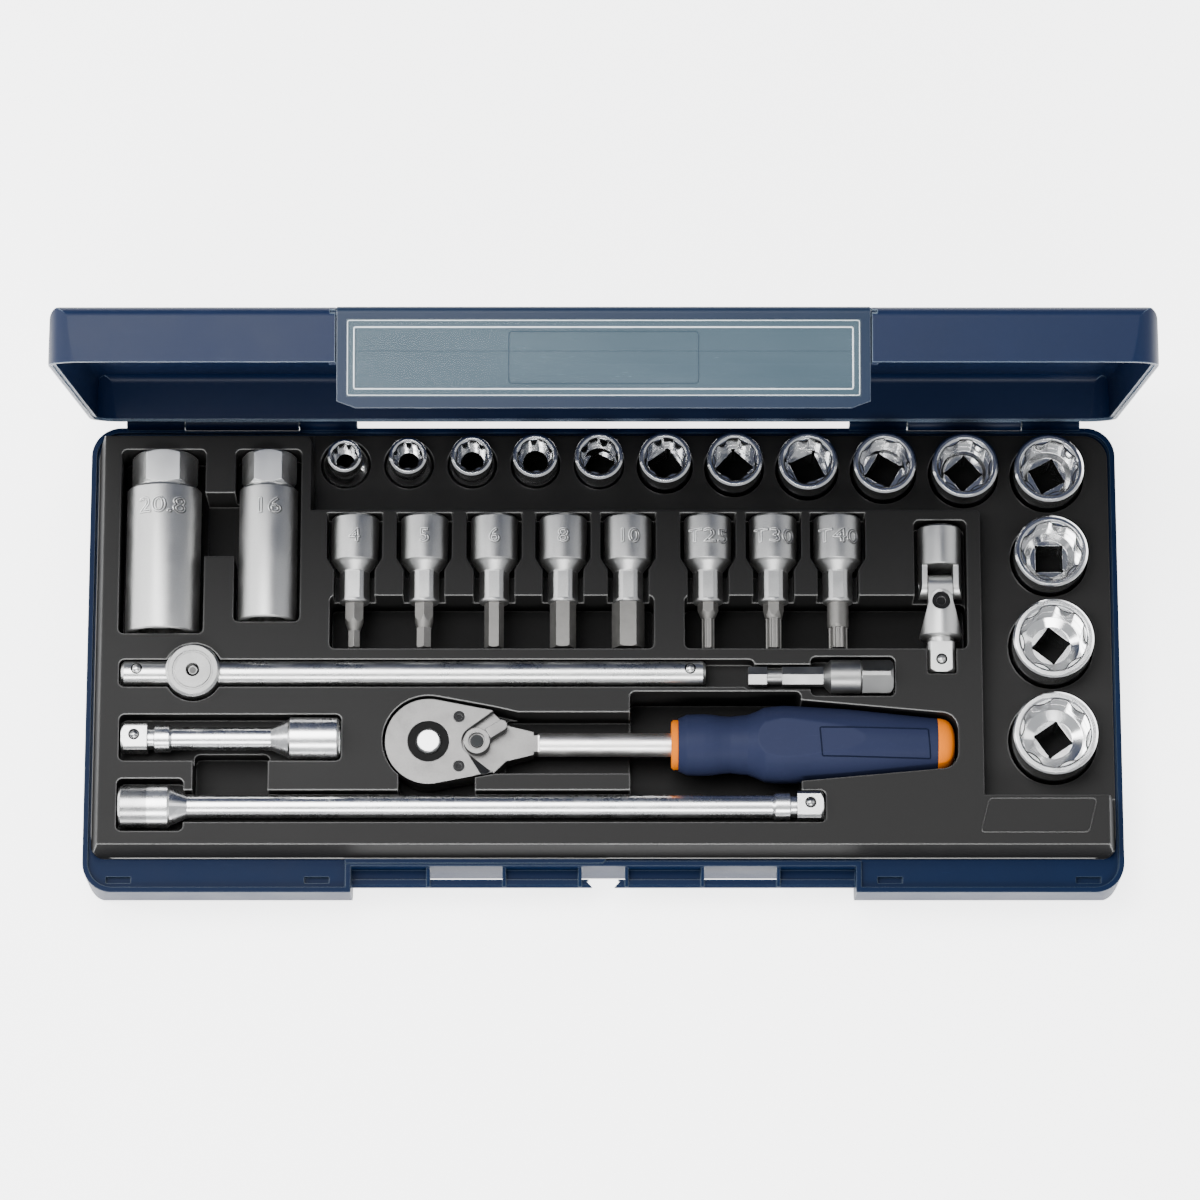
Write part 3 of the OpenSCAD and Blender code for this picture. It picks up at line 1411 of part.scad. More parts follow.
bit(3, 8, bit_out, false);  // hex_bit_8
bit(4, 10, bit_out, false);  // hex_bit_10
bit(5, 4.5, 10.8, true);  // star_bit_25
bit(6, 5.6, 10.8, true);  // star_bit_30
bit(7, 6.75, 7.4, true);  // star_bit_40
ujoint_drive();
ujoint_block();
ujoint_pins();
ujoint_socket();
sliding_bar();
sliding_head();
extension_short();
extension_long();
bit_adapter();
ratchet_body();
ratchet_grip();
grip_collar();
grip_cap();
drive_gear();
gear_ring();
ratchet_pawl();
reversing_lever();
release_button();
cover_screws();
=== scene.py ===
# Looks of the socket wrench set: finishes for the solids, and the fine pieces laid on them.
import json
import math

import bmesh
import bpy
from mathutils import Matrix, Vector


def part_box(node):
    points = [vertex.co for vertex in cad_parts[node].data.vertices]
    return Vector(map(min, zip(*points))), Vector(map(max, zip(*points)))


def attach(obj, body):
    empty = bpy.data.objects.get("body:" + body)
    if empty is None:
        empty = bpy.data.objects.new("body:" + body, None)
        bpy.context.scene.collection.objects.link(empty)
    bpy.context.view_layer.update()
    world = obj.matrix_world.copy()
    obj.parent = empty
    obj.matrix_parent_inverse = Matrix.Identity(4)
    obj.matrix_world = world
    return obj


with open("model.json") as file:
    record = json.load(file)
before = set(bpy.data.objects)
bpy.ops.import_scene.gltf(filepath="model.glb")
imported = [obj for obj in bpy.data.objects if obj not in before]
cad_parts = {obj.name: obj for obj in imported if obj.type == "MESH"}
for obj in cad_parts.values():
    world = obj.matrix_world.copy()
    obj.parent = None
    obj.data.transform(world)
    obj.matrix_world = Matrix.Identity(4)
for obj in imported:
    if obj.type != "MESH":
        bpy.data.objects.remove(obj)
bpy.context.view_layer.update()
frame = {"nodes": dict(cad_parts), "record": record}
scene = bpy.context.scene
MM = 0.001


# ---------- camera, light and floor ----------

def place_camera():
    """A long lens, looking down at the open case from the latch side."""
    elevation = math.radians(75.4)
    distance = 1.975
    aim = Vector((-0.00117, 0.0211, 0.022))
    sensor, focal_share = 36, 5557 / 1200
    data = bpy.data.cameras.new("camera")
    data.sensor_width = sensor
    data.lens = sensor * focal_share
    data.clip_start = 0.05
    data.clip_end = 20
    cam = bpy.data.objects.new("camera", data)
    cam.location = aim + distance * Vector((0, -math.cos(elevation), math.sin(elevation)))
    cam.rotation_euler = (math.pi / 2 - elevation, 0, 0)
    scene.collection.objects.link(cam)
    scene.camera = cam


def area_light(name, where, aim, size, power, colour=(1, 1, 1)):
    data = bpy.data.lights.new(name, "AREA")
    data.shape = "RECTANGLE"
    data.size, data.size_y = size
    data.energy = power
    data.color = colour
    lamp = bpy.data.objects.new(name, data)
    lamp.location = where
    lamp.rotation_euler = (Vector(aim) - Vector(where)).to_track_quat("-Z", "Y").to_euler()
    scene.collection.objects.link(lamp)


def light_studio():
    world = bpy.data.worlds.new("studio")
    world.use_nodes = True
    room = world.node_tree.nodes["Background"]
    room.inputs["Color"].default_value = (0.93, 0.96, 1, 1)
    room.inputs["Strength"].default_value = 0.62
    scene.world = world
    area_light("overhead", (-0.4, 0.25, 1.7), (0, 0.02, 0), (1.25, 0.9), 42)
    area_light("left_strip", (-1.3, 0.1, 0.9), (0, 0, 0), (0.35, 1.4), 14)
    area_light("right_strip", (1.3, 0.1, 0.9), (0, 0, 0), (0.35, 1.4), 4)
    area_light("front_fill", (0, -1.5, 1.3), (0, 0, 0.05), (1.6, 0.5), 30)


# ---------- node trees: sums as expressions, other nodes by one method ----------

class Value:
    """A socket that can be used in sums; each sum adds its Math node."""

    def __init__(self, maker, socket):
        self.maker, self.socket = maker, socket

    def maths(self, operation, *values):
        return self.maker.node("ShaderNodeMath", {"operation": operation}, dict(enumerate(values)))[0]

    def __add__(self, other): return self.maths("ADD", self, other)
    def __radd__(self, other): return self.maths("ADD", other, self)
    def __sub__(self, other): return self.maths("SUBTRACT", self, other)
    def __rsub__(self, other): return self.maths("SUBTRACT", other, self)
    def __mul__(self, other): return self.maths("MULTIPLY", self, other)
    def __rmul__(self, other): return self.maths("MULTIPLY", other, self)
    def __truediv__(self, other): return self.maths("DIVIDE", self, other)
    def __rtruediv__(self, other): return self.maths("DIVIDE", other, self)
    def __pow__(self, other): return self.maths("POWER", self, other)
    def sine(self): return self.maths("SINE", self)
    def cosine(self): return self.maths("COSINE", self)
    def least(self, other): return self.maths("MINIMUM", self, other)

    def between(self, low, high):
        """0 below low, 1 above high, smooth in between."""
        settings = {"interpolation_type": "SMOOTHSTEP"}
        return self.maker.node("ShaderNodeMapRange", settings, {0: self, 1: low, 2: high})[0]

    def inside(self, low, high, soft):
        """1 between low and high, falling to 0 over soft on both sides."""
        return self.between(low - soft, low) * (1 - self.between(high, high + soft))


class Node:
    """A node whose outputs are picked by name or number, ready for sums."""

    def __init__(self, maker, node):
        self.maker, self.node = maker, node

    def __getitem__(self, key):
        return Value(self.maker, self.node.outputs[key])


class Maker:
    """Adds nodes to a tree: settings first, then the values or links of the sockets."""

    def node(self, kind, settings=None, values=None):
        made = self.tree.nodes.new(kind)
        for key, value in (settings or {}).items():
            if key == "stops":
                ramp = made.color_ramp
                while len(ramp.elements) < len(value):
                    ramp.elements.new(0.5)
                for element, (at, tone) in zip(ramp.elements, value):
                    element.position = at
                    element.color = tone
            else:
                setattr(made, key, value)
        for key, value in (values or {}).items():
            if isinstance(value, Value):
                self.tree.links.new(value.socket, made.inputs[key])
            else:
                made.inputs[key].default_value = value
        return Node(self, made)


class Finish(Maker):
    """One material, with its main shader and the maths behind it."""

    def __init__(self, name, **fixed):
        self.material = bpy.data.materials.new(name)
        self.material.use_nodes = True
        self.tree = self.material.node_tree
        self.shader = self.tree.nodes["Principled BSDF"]
        for key, value in fixed.items():
            self.shader.inputs[key.replace("_", " ")].default_value = value
        self.place = self.node("ShaderNodeTexCoord")["Object"]
        spread = self.node("ShaderNodeSeparateXYZ", {}, {0: self.place})
        self.x, self.y, self.z = spread["X"], spread["Y"], spread["Z"]

    def feed(self, socket, value):
        self.tree.links.new(value.socket, self.shader.inputs[socket])

    def stretched(self, scale, turn=(0, 0, 0)):
        values = {"Vector": self.place, "Scale": scale, "Rotation": turn}
        return self.node("ShaderNodeMapping", {}, values)[0]

    def noise(self, size, detail=2, rough=0.5, vector=None):
        values = {"Vector": vector or self.place, "Scale": 1 / size, "Detail": detail, "Roughness": rough}
        return self.node("ShaderNodeTexNoise", {}, values)[0]

    def blend(self, factor, first, second):
        return self.node("ShaderNodeMix", {"data_type": "RGBA"}, {0: factor, 6: first, 7: second})[2]

    def soft_edges(self, radius):
        """The normal rolled over sharp edges, and how far it turns from the flat."""
        rolled = self.node("ShaderNodeBevel", {"samples": 6}, {"Radius": radius})[0]
        flat = self.node("ShaderNodeNewGeometry")["Normal"]
        dot = {"operation": "DOT_PRODUCT"}
        facing = self.node("ShaderNodeVectorMath", dot, {0: rolled, 1: flat})["Value"]
        return rolled, (1 - facing).between(0.004, 0.2)

    def relief(self, height, distance, strength, normal):
        values = {"Height": height, "Distance": distance, "Strength": strength, "Normal": normal}
        self.feed("Normal", self.node("ShaderNodeBump", {}, values)[0])


def rgb(tone, gain=1.0):
    """A tone, made lighter or darker by gain, with the fourth value a colour socket needs."""
    return tuple(c * gain for c in tone) + (1,)


def moulded(name, tone, edge=0.0007, grain=0.00035, rough=0.42, coarse=0.15, bright=1.7,
            shine=0.8, gloss=0.18, edge_highlight=None, front=0.0, deep_shade=None):
    """Injection-moulded plastic: fine spark-eroded grain, handled patches, and edges painted lighter
    as a painted highlight.

    edge_highlight is the tone of the painted highlight on the edges, and front the share of it kept for
    edges that face the latch side, where the light falls. deep_shade gives the heights between which the
    tone falls off as painted shade in the low places, and the share left at the bottom.
    """
    f = Finish(name, Coat_Roughness=0.22, Specular_IOR_Level=gloss)
    rolled, rim = f.soft_edges(edge)
    fine = f.noise(grain, 3, 0.6)
    patches = f.noise(0.02, 3, 0.55)
    specks = f.noise(0.0016, 1, 0.5).between(0.62, 0.75)
    scuffs = f.noise(0.0009, 3, 0.7, f.stretched((0.06, 1, 1), (0.2, 0.3, 0.5))).between(0.66, 0.74)
    tint = f.blend(patches, rgb(tone, 0.9), rgb(tone, 1.12))
    # Edges painted lighter by bright are a painted highlight; the specks and scuffs are wear.
    tint = f.blend((rim * 0.55 + specks * 0.06 + scuffs * 0.25).least(1), tint, rgb(tone, bright))
    # Painted highlight: edges take the edge_highlight tone, most of all those that face the latch side,
    # where the light falls.
    if edge_highlight:
        ahead = (0 - f.node("ShaderNodeSeparateXYZ", {}, {0: rolled})["Y"]).between(0.02, 0.35)
        tint = f.blend(rim.between(0.35, 1) * (1 - front + ahead * front), tint, rgb(edge_highlight))
    # Painted shade: the tone falls off towards the bottom of the low places, where shade falls.
    if deep_shade:
        low, high, share = deep_shade
        tint = f.blend(f.z.between(low, high), f.blend(share, rgb(tone, 0.1), tint), tint)
    f.feed("Base Color", tint)
    f.feed("Roughness", rough + (patches - 0.5) * 0.12 + (fine - 0.5) * coarse - rim * 0.08 - scuffs * 0.1)
    f.feed("Coat Weight", (rim * shine).least(1))
    f.relief(fine, 0.00003, 0.55, rolled)
    return f.material


def plated(name, tone, rough=0.1, edge=0.00025, along=0, streak=0.15, spread=0.08, dull=0.9,
           disc=None, grain=0.0, zones=()):
    """Chrome on ground steel: a mirror broken by grinding lines along the tool, smudges, and edges painted
    lighter as a painted highlight.

    disc is a darker round face: middle, radius, height and share of the tone. Each zone gives an axis,
    where a stretch of the tool starts and ends, and how much lighter or darker it is.
    """
    f = Finish(name, Metallic=1.0)
    rolled, rim = f.soft_edges(edge)
    stretch = [1, 1, 1]
    stretch[along] = 0.03
    lines = f.noise(0.00012, 2, 0.6, f.stretched(tuple(stretch)))
    smudge = f.noise(0.009, 4, 0.6)
    pits = f.noise(0.0007, 2, 0.5).between(0.66, 0.78)
    tint = f.blend(smudge, rgb(tone, dull), rgb(tone))
    speckle = f.noise(0.0004, 3, 0.7).between(0.35, 0.65)
    tint = f.blend((pits * 0.18 + speckle * grain).least(1), tint, rgb(tone, 0.6))
    for axis, low, high, gain in zones:
        place = {"x": f.x, "y": f.y}[axis]
        tint = f.blend(place.inside(low, high, 0.0008), tint, rgb(tone, gain))
    if disc:
        cx, cy, radius, top, share = disc
        away = ((f.x - cx) ** 2 + (f.y - cy) ** 2) ** 0.5
        face = (1 - away.between(radius - 0.0001, radius)) * f.z.between(top - 0.0002, top)
        tint = f.blend(face, tint, rgb(tone, share))
        # Painted shade: a near-black spot in the middle of the disc, where the dimple's hole is shaded.
        pin_hole_shade = (1 - away.between(0.0011, 0.0014)) * f.z.between(top - 0.0002, top)
        tint = f.blend(pin_hole_shade, tint, rgb(tone, 0.05))
    # Painted highlight: the edges are painted near white.
    tint = f.blend(rim * 0.5, tint, rgb((0.95, 0.95, 0.96)))
    f.feed("Base Color", tint)
    f.feed("Roughness", rough + smudge.between(0.35, 0.75) * spread + (lines - 0.5) * 0.1)
    f.relief(lines, 0.000012, streak, rolled)
    return f.material


def dark_steel(name, tone, rough=0.35, edge=0.0002):
    """Blackened or plain tool steel, oiled, with bright worn edges."""
    f = Finish(name, Metallic=0.9)
    rolled, rim = f.soft_edges(edge)
    cloud = f.noise(0.003, 4, 0.6)
    grit = f.noise(0.0002, 2, 0.6)
    tint = f.blend(cloud, rgb(tone, 0.75), rgb(tone, 1.2))
    tint = f.blend(rim * 0.6, tint, rgb((0.5, 0.5, 0.5)))
    f.feed("Base Color", tint)
    f.feed("Roughness", rough + (cloud - 0.5) * 0.2 + (grit - 0.5) * 0.1)
    f.relief(grit, 0.00002, 0.4, rolled)
    return f.material


def soft_rubber(name, tone):
    """Matt rubber with a fine grain and a faint bloom."""
    f = Finish(name, Sheen_Weight=0.2, Sheen_Roughness=0.5)
    rolled = f.soft_edges(0.0004)[0]
    fine = f.noise(0.0004, 3, 0.6)
    f.feed("Base Color", f.blend(fine, rgb(tone, 0.8), rgb(tone, 1.3)))
    f.feed("Roughness", 0.7 + (fine - 0.5) * 0.2)
    f.relief(fine, 0.00004, 0.5, rolled)
    return f.material


def clear_plastic(name):
    """Clear polystyrene with a cool cast, faint flow lines and fine scuffs."""
    f = Finish(name, IOR=1.45, Coat_Weight=0.1, Coat_Roughness=0.2, Specular_IOR_Level=0.1)
    rolled, rim = f.soft_edges(0.0005)
    flow = f.noise(0.012, 3, 0.5, f.stretched((0.25, 1, 1)))
    scuffs = f.noise(0.0006, 3, 0.7, f.stretched((0.1, 1, 1))).between(0.6, 0.72)
    f.feed("Base Color", f.blend(flow, (0.06, 0.095, 0.12, 1), (0.085, 0.125, 0.155, 1)))
    f.feed("Alpha", 0.62 + flow * 0.1 + rim * 0.45 + scuffs * 0.08)
    f.feed("Roughness", 0.12 + flow * 0.1 + scuffs * 0.2)
    f.relief(flow, 0.0002, 0.25, rolled)
    return f.material


def floor_paper(name):
    """Pale background paper that glows a little, so that it stays even."""
    f = Finish(name, Emission_Strength=3.5)
    fibre = f.noise(0.002, 3, 0.6)
    wide = f.noise(0.25, 2, 0.5)
    tint = f.blend(wide, (0.9, 0.9, 0.9, 1), (0.93, 0.93, 0.93, 1))
    f.feed("Base Color", tint)
    f.feed("Emission Color", tint)
    f.feed("Roughness", 0.75 + (fibre - 0.5) * 0.1)
    f.relief(fibre, 0.00005, 0.1, f.node("ShaderNodeNewGeometry")["Normal"])
    return f.material


CASE_BLUE = (0.0022, 0.0085, 0.03)
LID_BLUE = (0.0024, 0.009, 0.034)
LATCH_BLUE = (0.006, 0.015, 0.036)
GRIP_BLUE = (0.017, 0.022, 0.052)
TRAY_GREY = (0.0145, 0.0142, 0.014)
LONG_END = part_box("extension_long")[1][0]
SHORT_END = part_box("extension_short")[0][0]
PLUG_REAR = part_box("plug_socket_large")[1][1]
SQUARE_L = 0.0092  # length of an extension's square end
PLUG_HEX_L = 0.0125  # length of a spark plug socket's hexagon
NECK_START = -0.0225  # where the ratchet's bright neck begins
BEYOND = 1  # past the end of any tool
HEAD_DISC = (-0.1445, -0.0077, 0.0089, 0.0335, 0.22)  # dark top of the sliding bar's head
FINISHES = {
    # edge_highlight is the tone of each plastic's painted highlight on its edges.
    "case_plastic": moulded("case_plastic", CASE_BLUE, edge=0.0008, rough=0.4, shine=0.2, gloss=0.05,
                            edge_highlight=(0.03, 0.05, 0.075)),
    "lid_plastic": moulded("lid_plastic", LID_BLUE, edge=0.0008, rough=0.4, shine=0.5, gloss=0.16,
                           edge_highlight=(0.16, 0.22, 0.29)),
    "latch_plastic": moulded("latch_plastic", LATCH_BLUE, edge=0.0006, rough=0.36,
                             edge_highlight=(0.09, 0.12, 0.16)),
    # The tray's deep_shade darkens its low places as painted shade.
    "tray_plastic": moulded("tray_plastic", TRAY_GREY, edge=0.0011, grain=0.0005, rough=0.5,
                            bright=1.3, shine=0.5, gloss=0.1, edge_highlight=(0.32, 0.32, 0.31),
                            front=0.93, deep_shade=(0.008, 0.021, 0.15)),
    "window_plastic": clear_plastic("window_plastic"),
    # window_rib is a painted highlight: bright plated lines on the ribs round the clear window.
    "window_rib": plated("window_rib", (0.8, 0.86, 0.9), rough=0.5, along=0, streak=0.2, dull=0.7),
    "window_line": moulded("window_line", (0.035, 0.055, 0.075), edge=0.0002, rough=0.5, shine=0.1),
    "hinge_steel": dark_steel("hinge_steel", (0.45, 0.46, 0.47), rough=0.3),
    "socket_chrome": plated("socket_chrome", (0.86, 0.86, 0.86), rough=0.13, along=2, streak=0.04),
    # The plug sockets' hexagon is painted lighter: a painted reflection in place of the light its top facets
    # don't mirror.
    "plug_chrome": plated("plug_chrome", (0.62, 0.62, 0.61), rough=0.38, along=0, streak=0.3, grain=0.2,
                          zones=[("y", PLUG_REAR - PLUG_HEX_L, BEYOND, 1.55)]),
    "holder_chrome": plated("holder_chrome", (0.58, 0.58, 0.57), rough=0.36, along=0, streak=0.3, grain=0.3),
    # wave_step_shade is painted shade: a near-black line along the wavy step inside each socket's rim.
    "wave_step_shade": dark_steel("wave_step_shade", (0.012, 0.012, 0.013), rough=0.4),
    "adapter_steel": plated("adapter_steel", (0.34, 0.34, 0.335), rough=0.36, along=0, streak=0.15),
    "ujoint_chrome": plated("ujoint_chrome", (0.58, 0.58, 0.57), rough=0.34, along=1, streak=0.25),
    "bar_chrome": plated("bar_chrome", (0.66, 0.66, 0.65), rough=0.26, along=0, streak=0.05,
                         disc=HEAD_DISC),
    "extension_chrome": plated("extension_chrome", (0.84, 0.84, 0.84), rough=0.24, along=0, streak=0.05,
                               zones=[("x", LONG_END - SQUARE_L, BEYOND, 0.5),
                                      ("x", -BEYOND, SHORT_END + SQUARE_L, 0.5)]),
    "ratchet_chrome": plated("ratchet_chrome", (0.15, 0.147, 0.144), rough=0.36, edge=0.0004,
                             along=0, streak=0.2, grain=0.35, zones=[("x", NECK_START, 0.03, 6)]),
    "button_chrome": plated("button_chrome", (0.42, 0.42, 0.42), rough=0.12, edge=0.0004, along=2),
    "bit_steel": dark_steel("bit_steel", (0.2, 0.195, 0.185), rough=0.5),
    "gear_steel": dark_steel("gear_steel", (0.003, 0.003, 0.003), rough=0.45),
    "black_steel": dark_steel("black_steel", (0.01, 0.01, 0.0105), rough=0.42),
    "cap_steel": dark_steel("cap_steel", (0.02, 0.021, 0.022), rough=0.5),
    "black_rubber": soft_rubber("black_rubber", (0.015, 0.015, 0.015)),
    "grip_blue": moulded("grip_blue", GRIP_BLUE, edge=0.0012, grain=0.0004, rough=0.5, gloss=0.08,
                         shine=0.2),
    # stamp_light is a painted highlight along the stamped outlines of the size numbers, and stamp_dark a
    # painted shadow set beside them.
    "stamp_light": plated("stamp_light", (0.98, 0.98, 0.97), rough=0.5, along=1, streak=0.1, dull=0.96),
    "stamp_dark": plated("stamp_dark", (0.22, 0.22, 0.22), rough=0.5, along=1, streak=0.1),
    # grip_groove_shade is painted shade: a dark line in place of the groove round the grip's plate.
    "grip_groove_shade": moulded("grip_groove_shade", (0.004, 0.007, 0.02), edge=0.0002, rough=0.5, shine=0.1, gloss=0.05),
    "collar_orange": moulded("collar_orange", (0.72, 0.17, 0.0), edge=0.0006, rough=0.65,
                             bright=1.1, shine=0.05, gloss=0.04),
}
SLOTS = {entry["node"]: entry["material_slot"] for entry in frame["record"]["subparts"]}
SPECIAL = {"bit_adapter": "adapter_steel"}


def dress_solids():
    """Each solid gets its finish, smooth faces and sharp corners."""
    for node, solid in frame["nodes"].items():
        solid.data.materials.clear()
        solid.data.materials.append(FINISHES[SPECIAL.get(node, SLOTS[node])])
        solid.data.shade_smooth()
        solid.data.set_sharp_from_angle(angle=math.radians(32))


# ---------- pieces ----------

class Pattern(Maker):
    """A geometry tree with named inputs, whose result becomes a plain mesh."""

    def __init__(self, name, **inputs):
        self.tree = bpy.data.node_groups.new(name, "GeometryNodeTree")
        self.keys = {}
        face = self.tree.interface
        face.new_socket("Geometry", in_out="INPUT", socket_type="NodeSocketGeometry")
        for key, kind in inputs.items():
            label = key.replace("_", " ")
            made = face.new_socket(label, in_out="INPUT", socket_type="NodeSocket" + kind)
            self.keys[key] = made.identifier
        face.new_socket("Geometry", in_out="OUTPUT", socket_type="NodeSocketGeometry")
        entry = self.node("NodeGroupInput")
        self.shape = entry["Geometry"]
        self.given = {key: entry[key.replace("_", " ")] for key in inputs}

    def ends(self, shape):
        """Real geometry with the given material."""
        real = self.node("GeometryNodeRealizeInstances", {}, {0: shape})[0]
        smooth = self.node("GeometryNodeSetShadeSmooth", {}, {"Geometry": real})[0]
        dressed = self.node("GeometryNodeSetMaterial", {},
                            {"Geometry": smooth, "Material": self.given["Material"]})[0]
        self.node("NodeGroupOutput", {}, {"Geometry": dressed})

    def mesh(self, start, **values):
        """The plain mesh that the pattern makes from start with these inputs."""
        holder = bpy.data.objects.new("holder", start)
        scene.collection.objects.link(holder)
        modifier = holder.modifiers.new("pattern", "NODES")
        modifier.node_group = self.tree
        for key, value in values.items():
            modifier[self.keys[key]] = value
        graph = bpy.context.evaluated_depsgraph_get()
        mesh = bpy.data.meshes.new_from_object(holder.evaluated_get(graph))
        bpy.data.objects.remove(holder)
        return mesh


def bead_pattern():
    """A round bead along the edges of a path."""
    p = Pattern("bead_line", Bead_radius="Float", Sides="Int", Material="Material")
    path = p.node("GeometryNodeMeshToCurve", {}, {"Mesh": p.shape})[0]
    ring = p.node("GeometryNodeCurvePrimitiveCircle", {},
                  {"Radius": p.given["Bead_radius"], "Resolution": p.given["Sides"]})[0]
    tube = p.node("GeometryNodeCurveToMesh", {},
                  {"Curve": path, "Profile Curve": ring, "Fill Caps": True})[0]
    p.ends(tube)
    return p


def number_pattern():
    """The outlines of a number as fine beads, rolled onto a barrel that lies along Y."""
    p = Pattern("rolled_number", Number="String", Height="Float", Stretch="Float", Bead_radius="Float",
                Barrel_radius="Float", Centre="Vector", Material="Material")
    figure_share = 0.7  # a figure's height in the height of a line of text
    letters = p.node("GeometryNodeStringToCurves", {"align_x": "CENTER", "align_y": "MIDDLE"},
                     {"String": p.given["Number"], "Size": p.given["Height"] / figure_share})[0]
    lines = p.node("GeometryNodeRealizeInstances", {}, {0: letters})[0]
    even = p.node("GeometryNodeResampleCurve", {}, {"Curve": lines, "Count": 28})[0]
    ring = p.node("GeometryNodeCurvePrimitiveCircle", {},
                  {"Radius": p.given["Bead_radius"], "Resolution": 5})[0]
    wire = p.node("GeometryNodeCurveToMesh", {}, {"Curve": even, "Profile Curve": ring})[0]
    spot = p.node("ShaderNodeSeparateXYZ", {}, {0: p.node("GeometryNodeInputPosition")[0]})
    radius = p.given["Barrel_radius"]
    angle = spot["X"] * p.given["Stretch"] / radius
    reach = radius + spot["Z"]
    rolled = p.node("ShaderNodeCombineXYZ", {},
                    {"X": reach * angle.sine(), "Y": spot["Y"], "Z": reach * angle.cosine()})[0]
    bent = p.node("GeometryNodeSetPosition", {}, {"Geometry": wire, "Position": rolled})[0]
    placed = p.node("GeometryNodeTransform", {}, {"Geometry": bent, "Translation": p.given["Centre"]})[0]
    p.ends(placed)
    return p


BEAD = bead_pattern()
NUMBER = number_pattern()


def path_mesh(points, closed=True):
    """A mesh of edges only, for a bead to follow."""
    mesh = bpy.data.meshes.new("path")
    n = len(points)
    edges = [(k, (k + 1) % n) for k in range(n if closed else n - 1)]
    mesh.from_pydata([tuple(p) for p in points], edges, [])
    return mesh


def bead(name, points, radius, body, slot, finish=None, closed=True, sides=8):
    """A raised line along the given points."""
    material = FINISHES[finish or slot]
    mesh = BEAD.mesh(path_mesh(points, closed), Bead_radius=radius, Sides=sides, Material=material)
    return mesh_piece(name, mesh, body, slot, finish)


def rounded_loop(x0, x1, y0, y1, radius, steps=5, slant=0.0):
    """Corner points of a plate with rounded corners, whose ends may lean by slant."""
    corners = [(x0, y0), (x1 - slant, y0), (x1, y1), (x0 + slant, y1)]
    points = []
    for k in range(4):
        before, here, after = (Vector(corners[(k + d) % 4]) for d in (-1, 0, 1))
        start = here + (before - here).normalized() * radius
        end = here + (after - here).normalized() * radius
        for i in range(steps + 1):
            t = i / steps
            points.append((1 - t) ** 2 * start + 2 * t * (1 - t) * here + t * t * end)
    return points


def mesh_piece(name, mesh, body, slot, finish=None):
    """A finished mesh as a piece that moves with its body."""
    piece = bpy.data.objects.new(name, mesh)
    scene.collection.objects.link(piece)
    mesh.materials.clear()
    mesh.materials.append(FINISHES[finish or slot])
    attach(piece, body)
    return piece


def lay_floor():
    """A wide sheet just under the case."""
    half, gap = 4.0, 0.0002
    corners = [(-half, -half, 0), (half, -half, 0), (half, half, 0), (-half, half, 0)]
    mesh = bpy.data.meshes.new("floor")
    mesh.from_pydata(corners, [], [(0, 1, 2, 3)])
    floor = bpy.data.objects.new("floor", mesh)
    floor.location.z = -gap
    mesh.materials.append(floor_paper("floor_paper"))
    scene.collection.objects.link(floor)


def roll_number(text, node, from_rear, height, stretch, body, slot):
    """A size number on the upper side of a tool that lies along Y: light lines as a painted highlight on the
    stamped outline, with dark ones below as its painted shadow.
    """
    low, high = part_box(node)
    radius = (high[0] - low[0]) / 2
    for look, shift, thick in (("light", 0, 0.00024), ("dark", 0.0003, 0.0003)):
        centre = ((low[0] + high[0]) / 2 + shift, high[1] - from_rear - shift,
                  (low[2] + high[2]) / 2 - shift / 5)
        mesh = NUMBER.mesh(bpy.data.meshes.new("blank"), Number=text, Height=height,
                           Stretch=stretch, Bead_radius=thick, Barrel_radius=radius,
                           Centre=centre, Material=FINISHES["stamp_" + look])
        mesh_piece(f"size_{text}_{look}", mesh, body, slot, "stamp_" + look)


def stamp_sizes():
    """The plain size numbers on the bit sockets and the spark plug sockets."""
    from_rear, height = 0.0085, 0.005
    for k, text in enumerate(["4", "5", "6", "8", "10", "T25", "T30", "T40"], 1):
        stretch = 1.4 if text.startswith("T") else 1.15
        roll_number(text, f"bit_holder_{k}", from_rear, height, stretch, f"bit_body_{k}",
                    "holder_chrome")
    from_rear, height, stretch = 0.0212, 0.0056, 1.3
    for text, size in (("20.8", "large"), ("16", "small")):
        roll_number(text, "plug_socket_" + size, from_rear, height, stretch,
                    f"plug_{size}_body", "plug_chrome")


def spaced(points, step=0.001):
    """The same closed path with points no further apart than step."""
    result = []
    for a, b in zip(points, points[1:] + points[:1]):
        count = max(1, math.ceil((b - a).length / step))
        result += [a.lerp(b, k / count) for k in range(count)]
    return result


def grip_top(x, y):
    """Height of the grip's upper side: turned along X, with flats."""
    axis_y, axis_z, flat_z = -0.0323, 0.024, 0.036
    stations = ((0.0264, 0.0093), (0.0299, 0.0108), (0.0444, 0.01), (0.0588, 0.01355), (0.0644, 0.0139),
                (0.0864, 0.0126), (0.1177, 0.00935))
    for (x0, r0), (x1, r1) in zip(stations, stations[1:]):
        if x <= x1:
            break
    radius = r0 + (r1 - r0) * (x - x0) / (x1 - x0)
    return min(axis_z + math.sqrt(max(radius ** 2 - (y - axis_y) ** 2, 0)), flat_z)


def on_window(x, up, lift=0.0):
    """A point on the raised flap's clear window: up runs across it, lift stands off it."""
    up_way, out_way = Vector((0, 0.98538, 0.17036)), Vector((0, -0.17036, 0.98538))
    pane = 0.1782
    return Vector((x, 0, 0)) + up * up_way + (pane + lift) * out_way


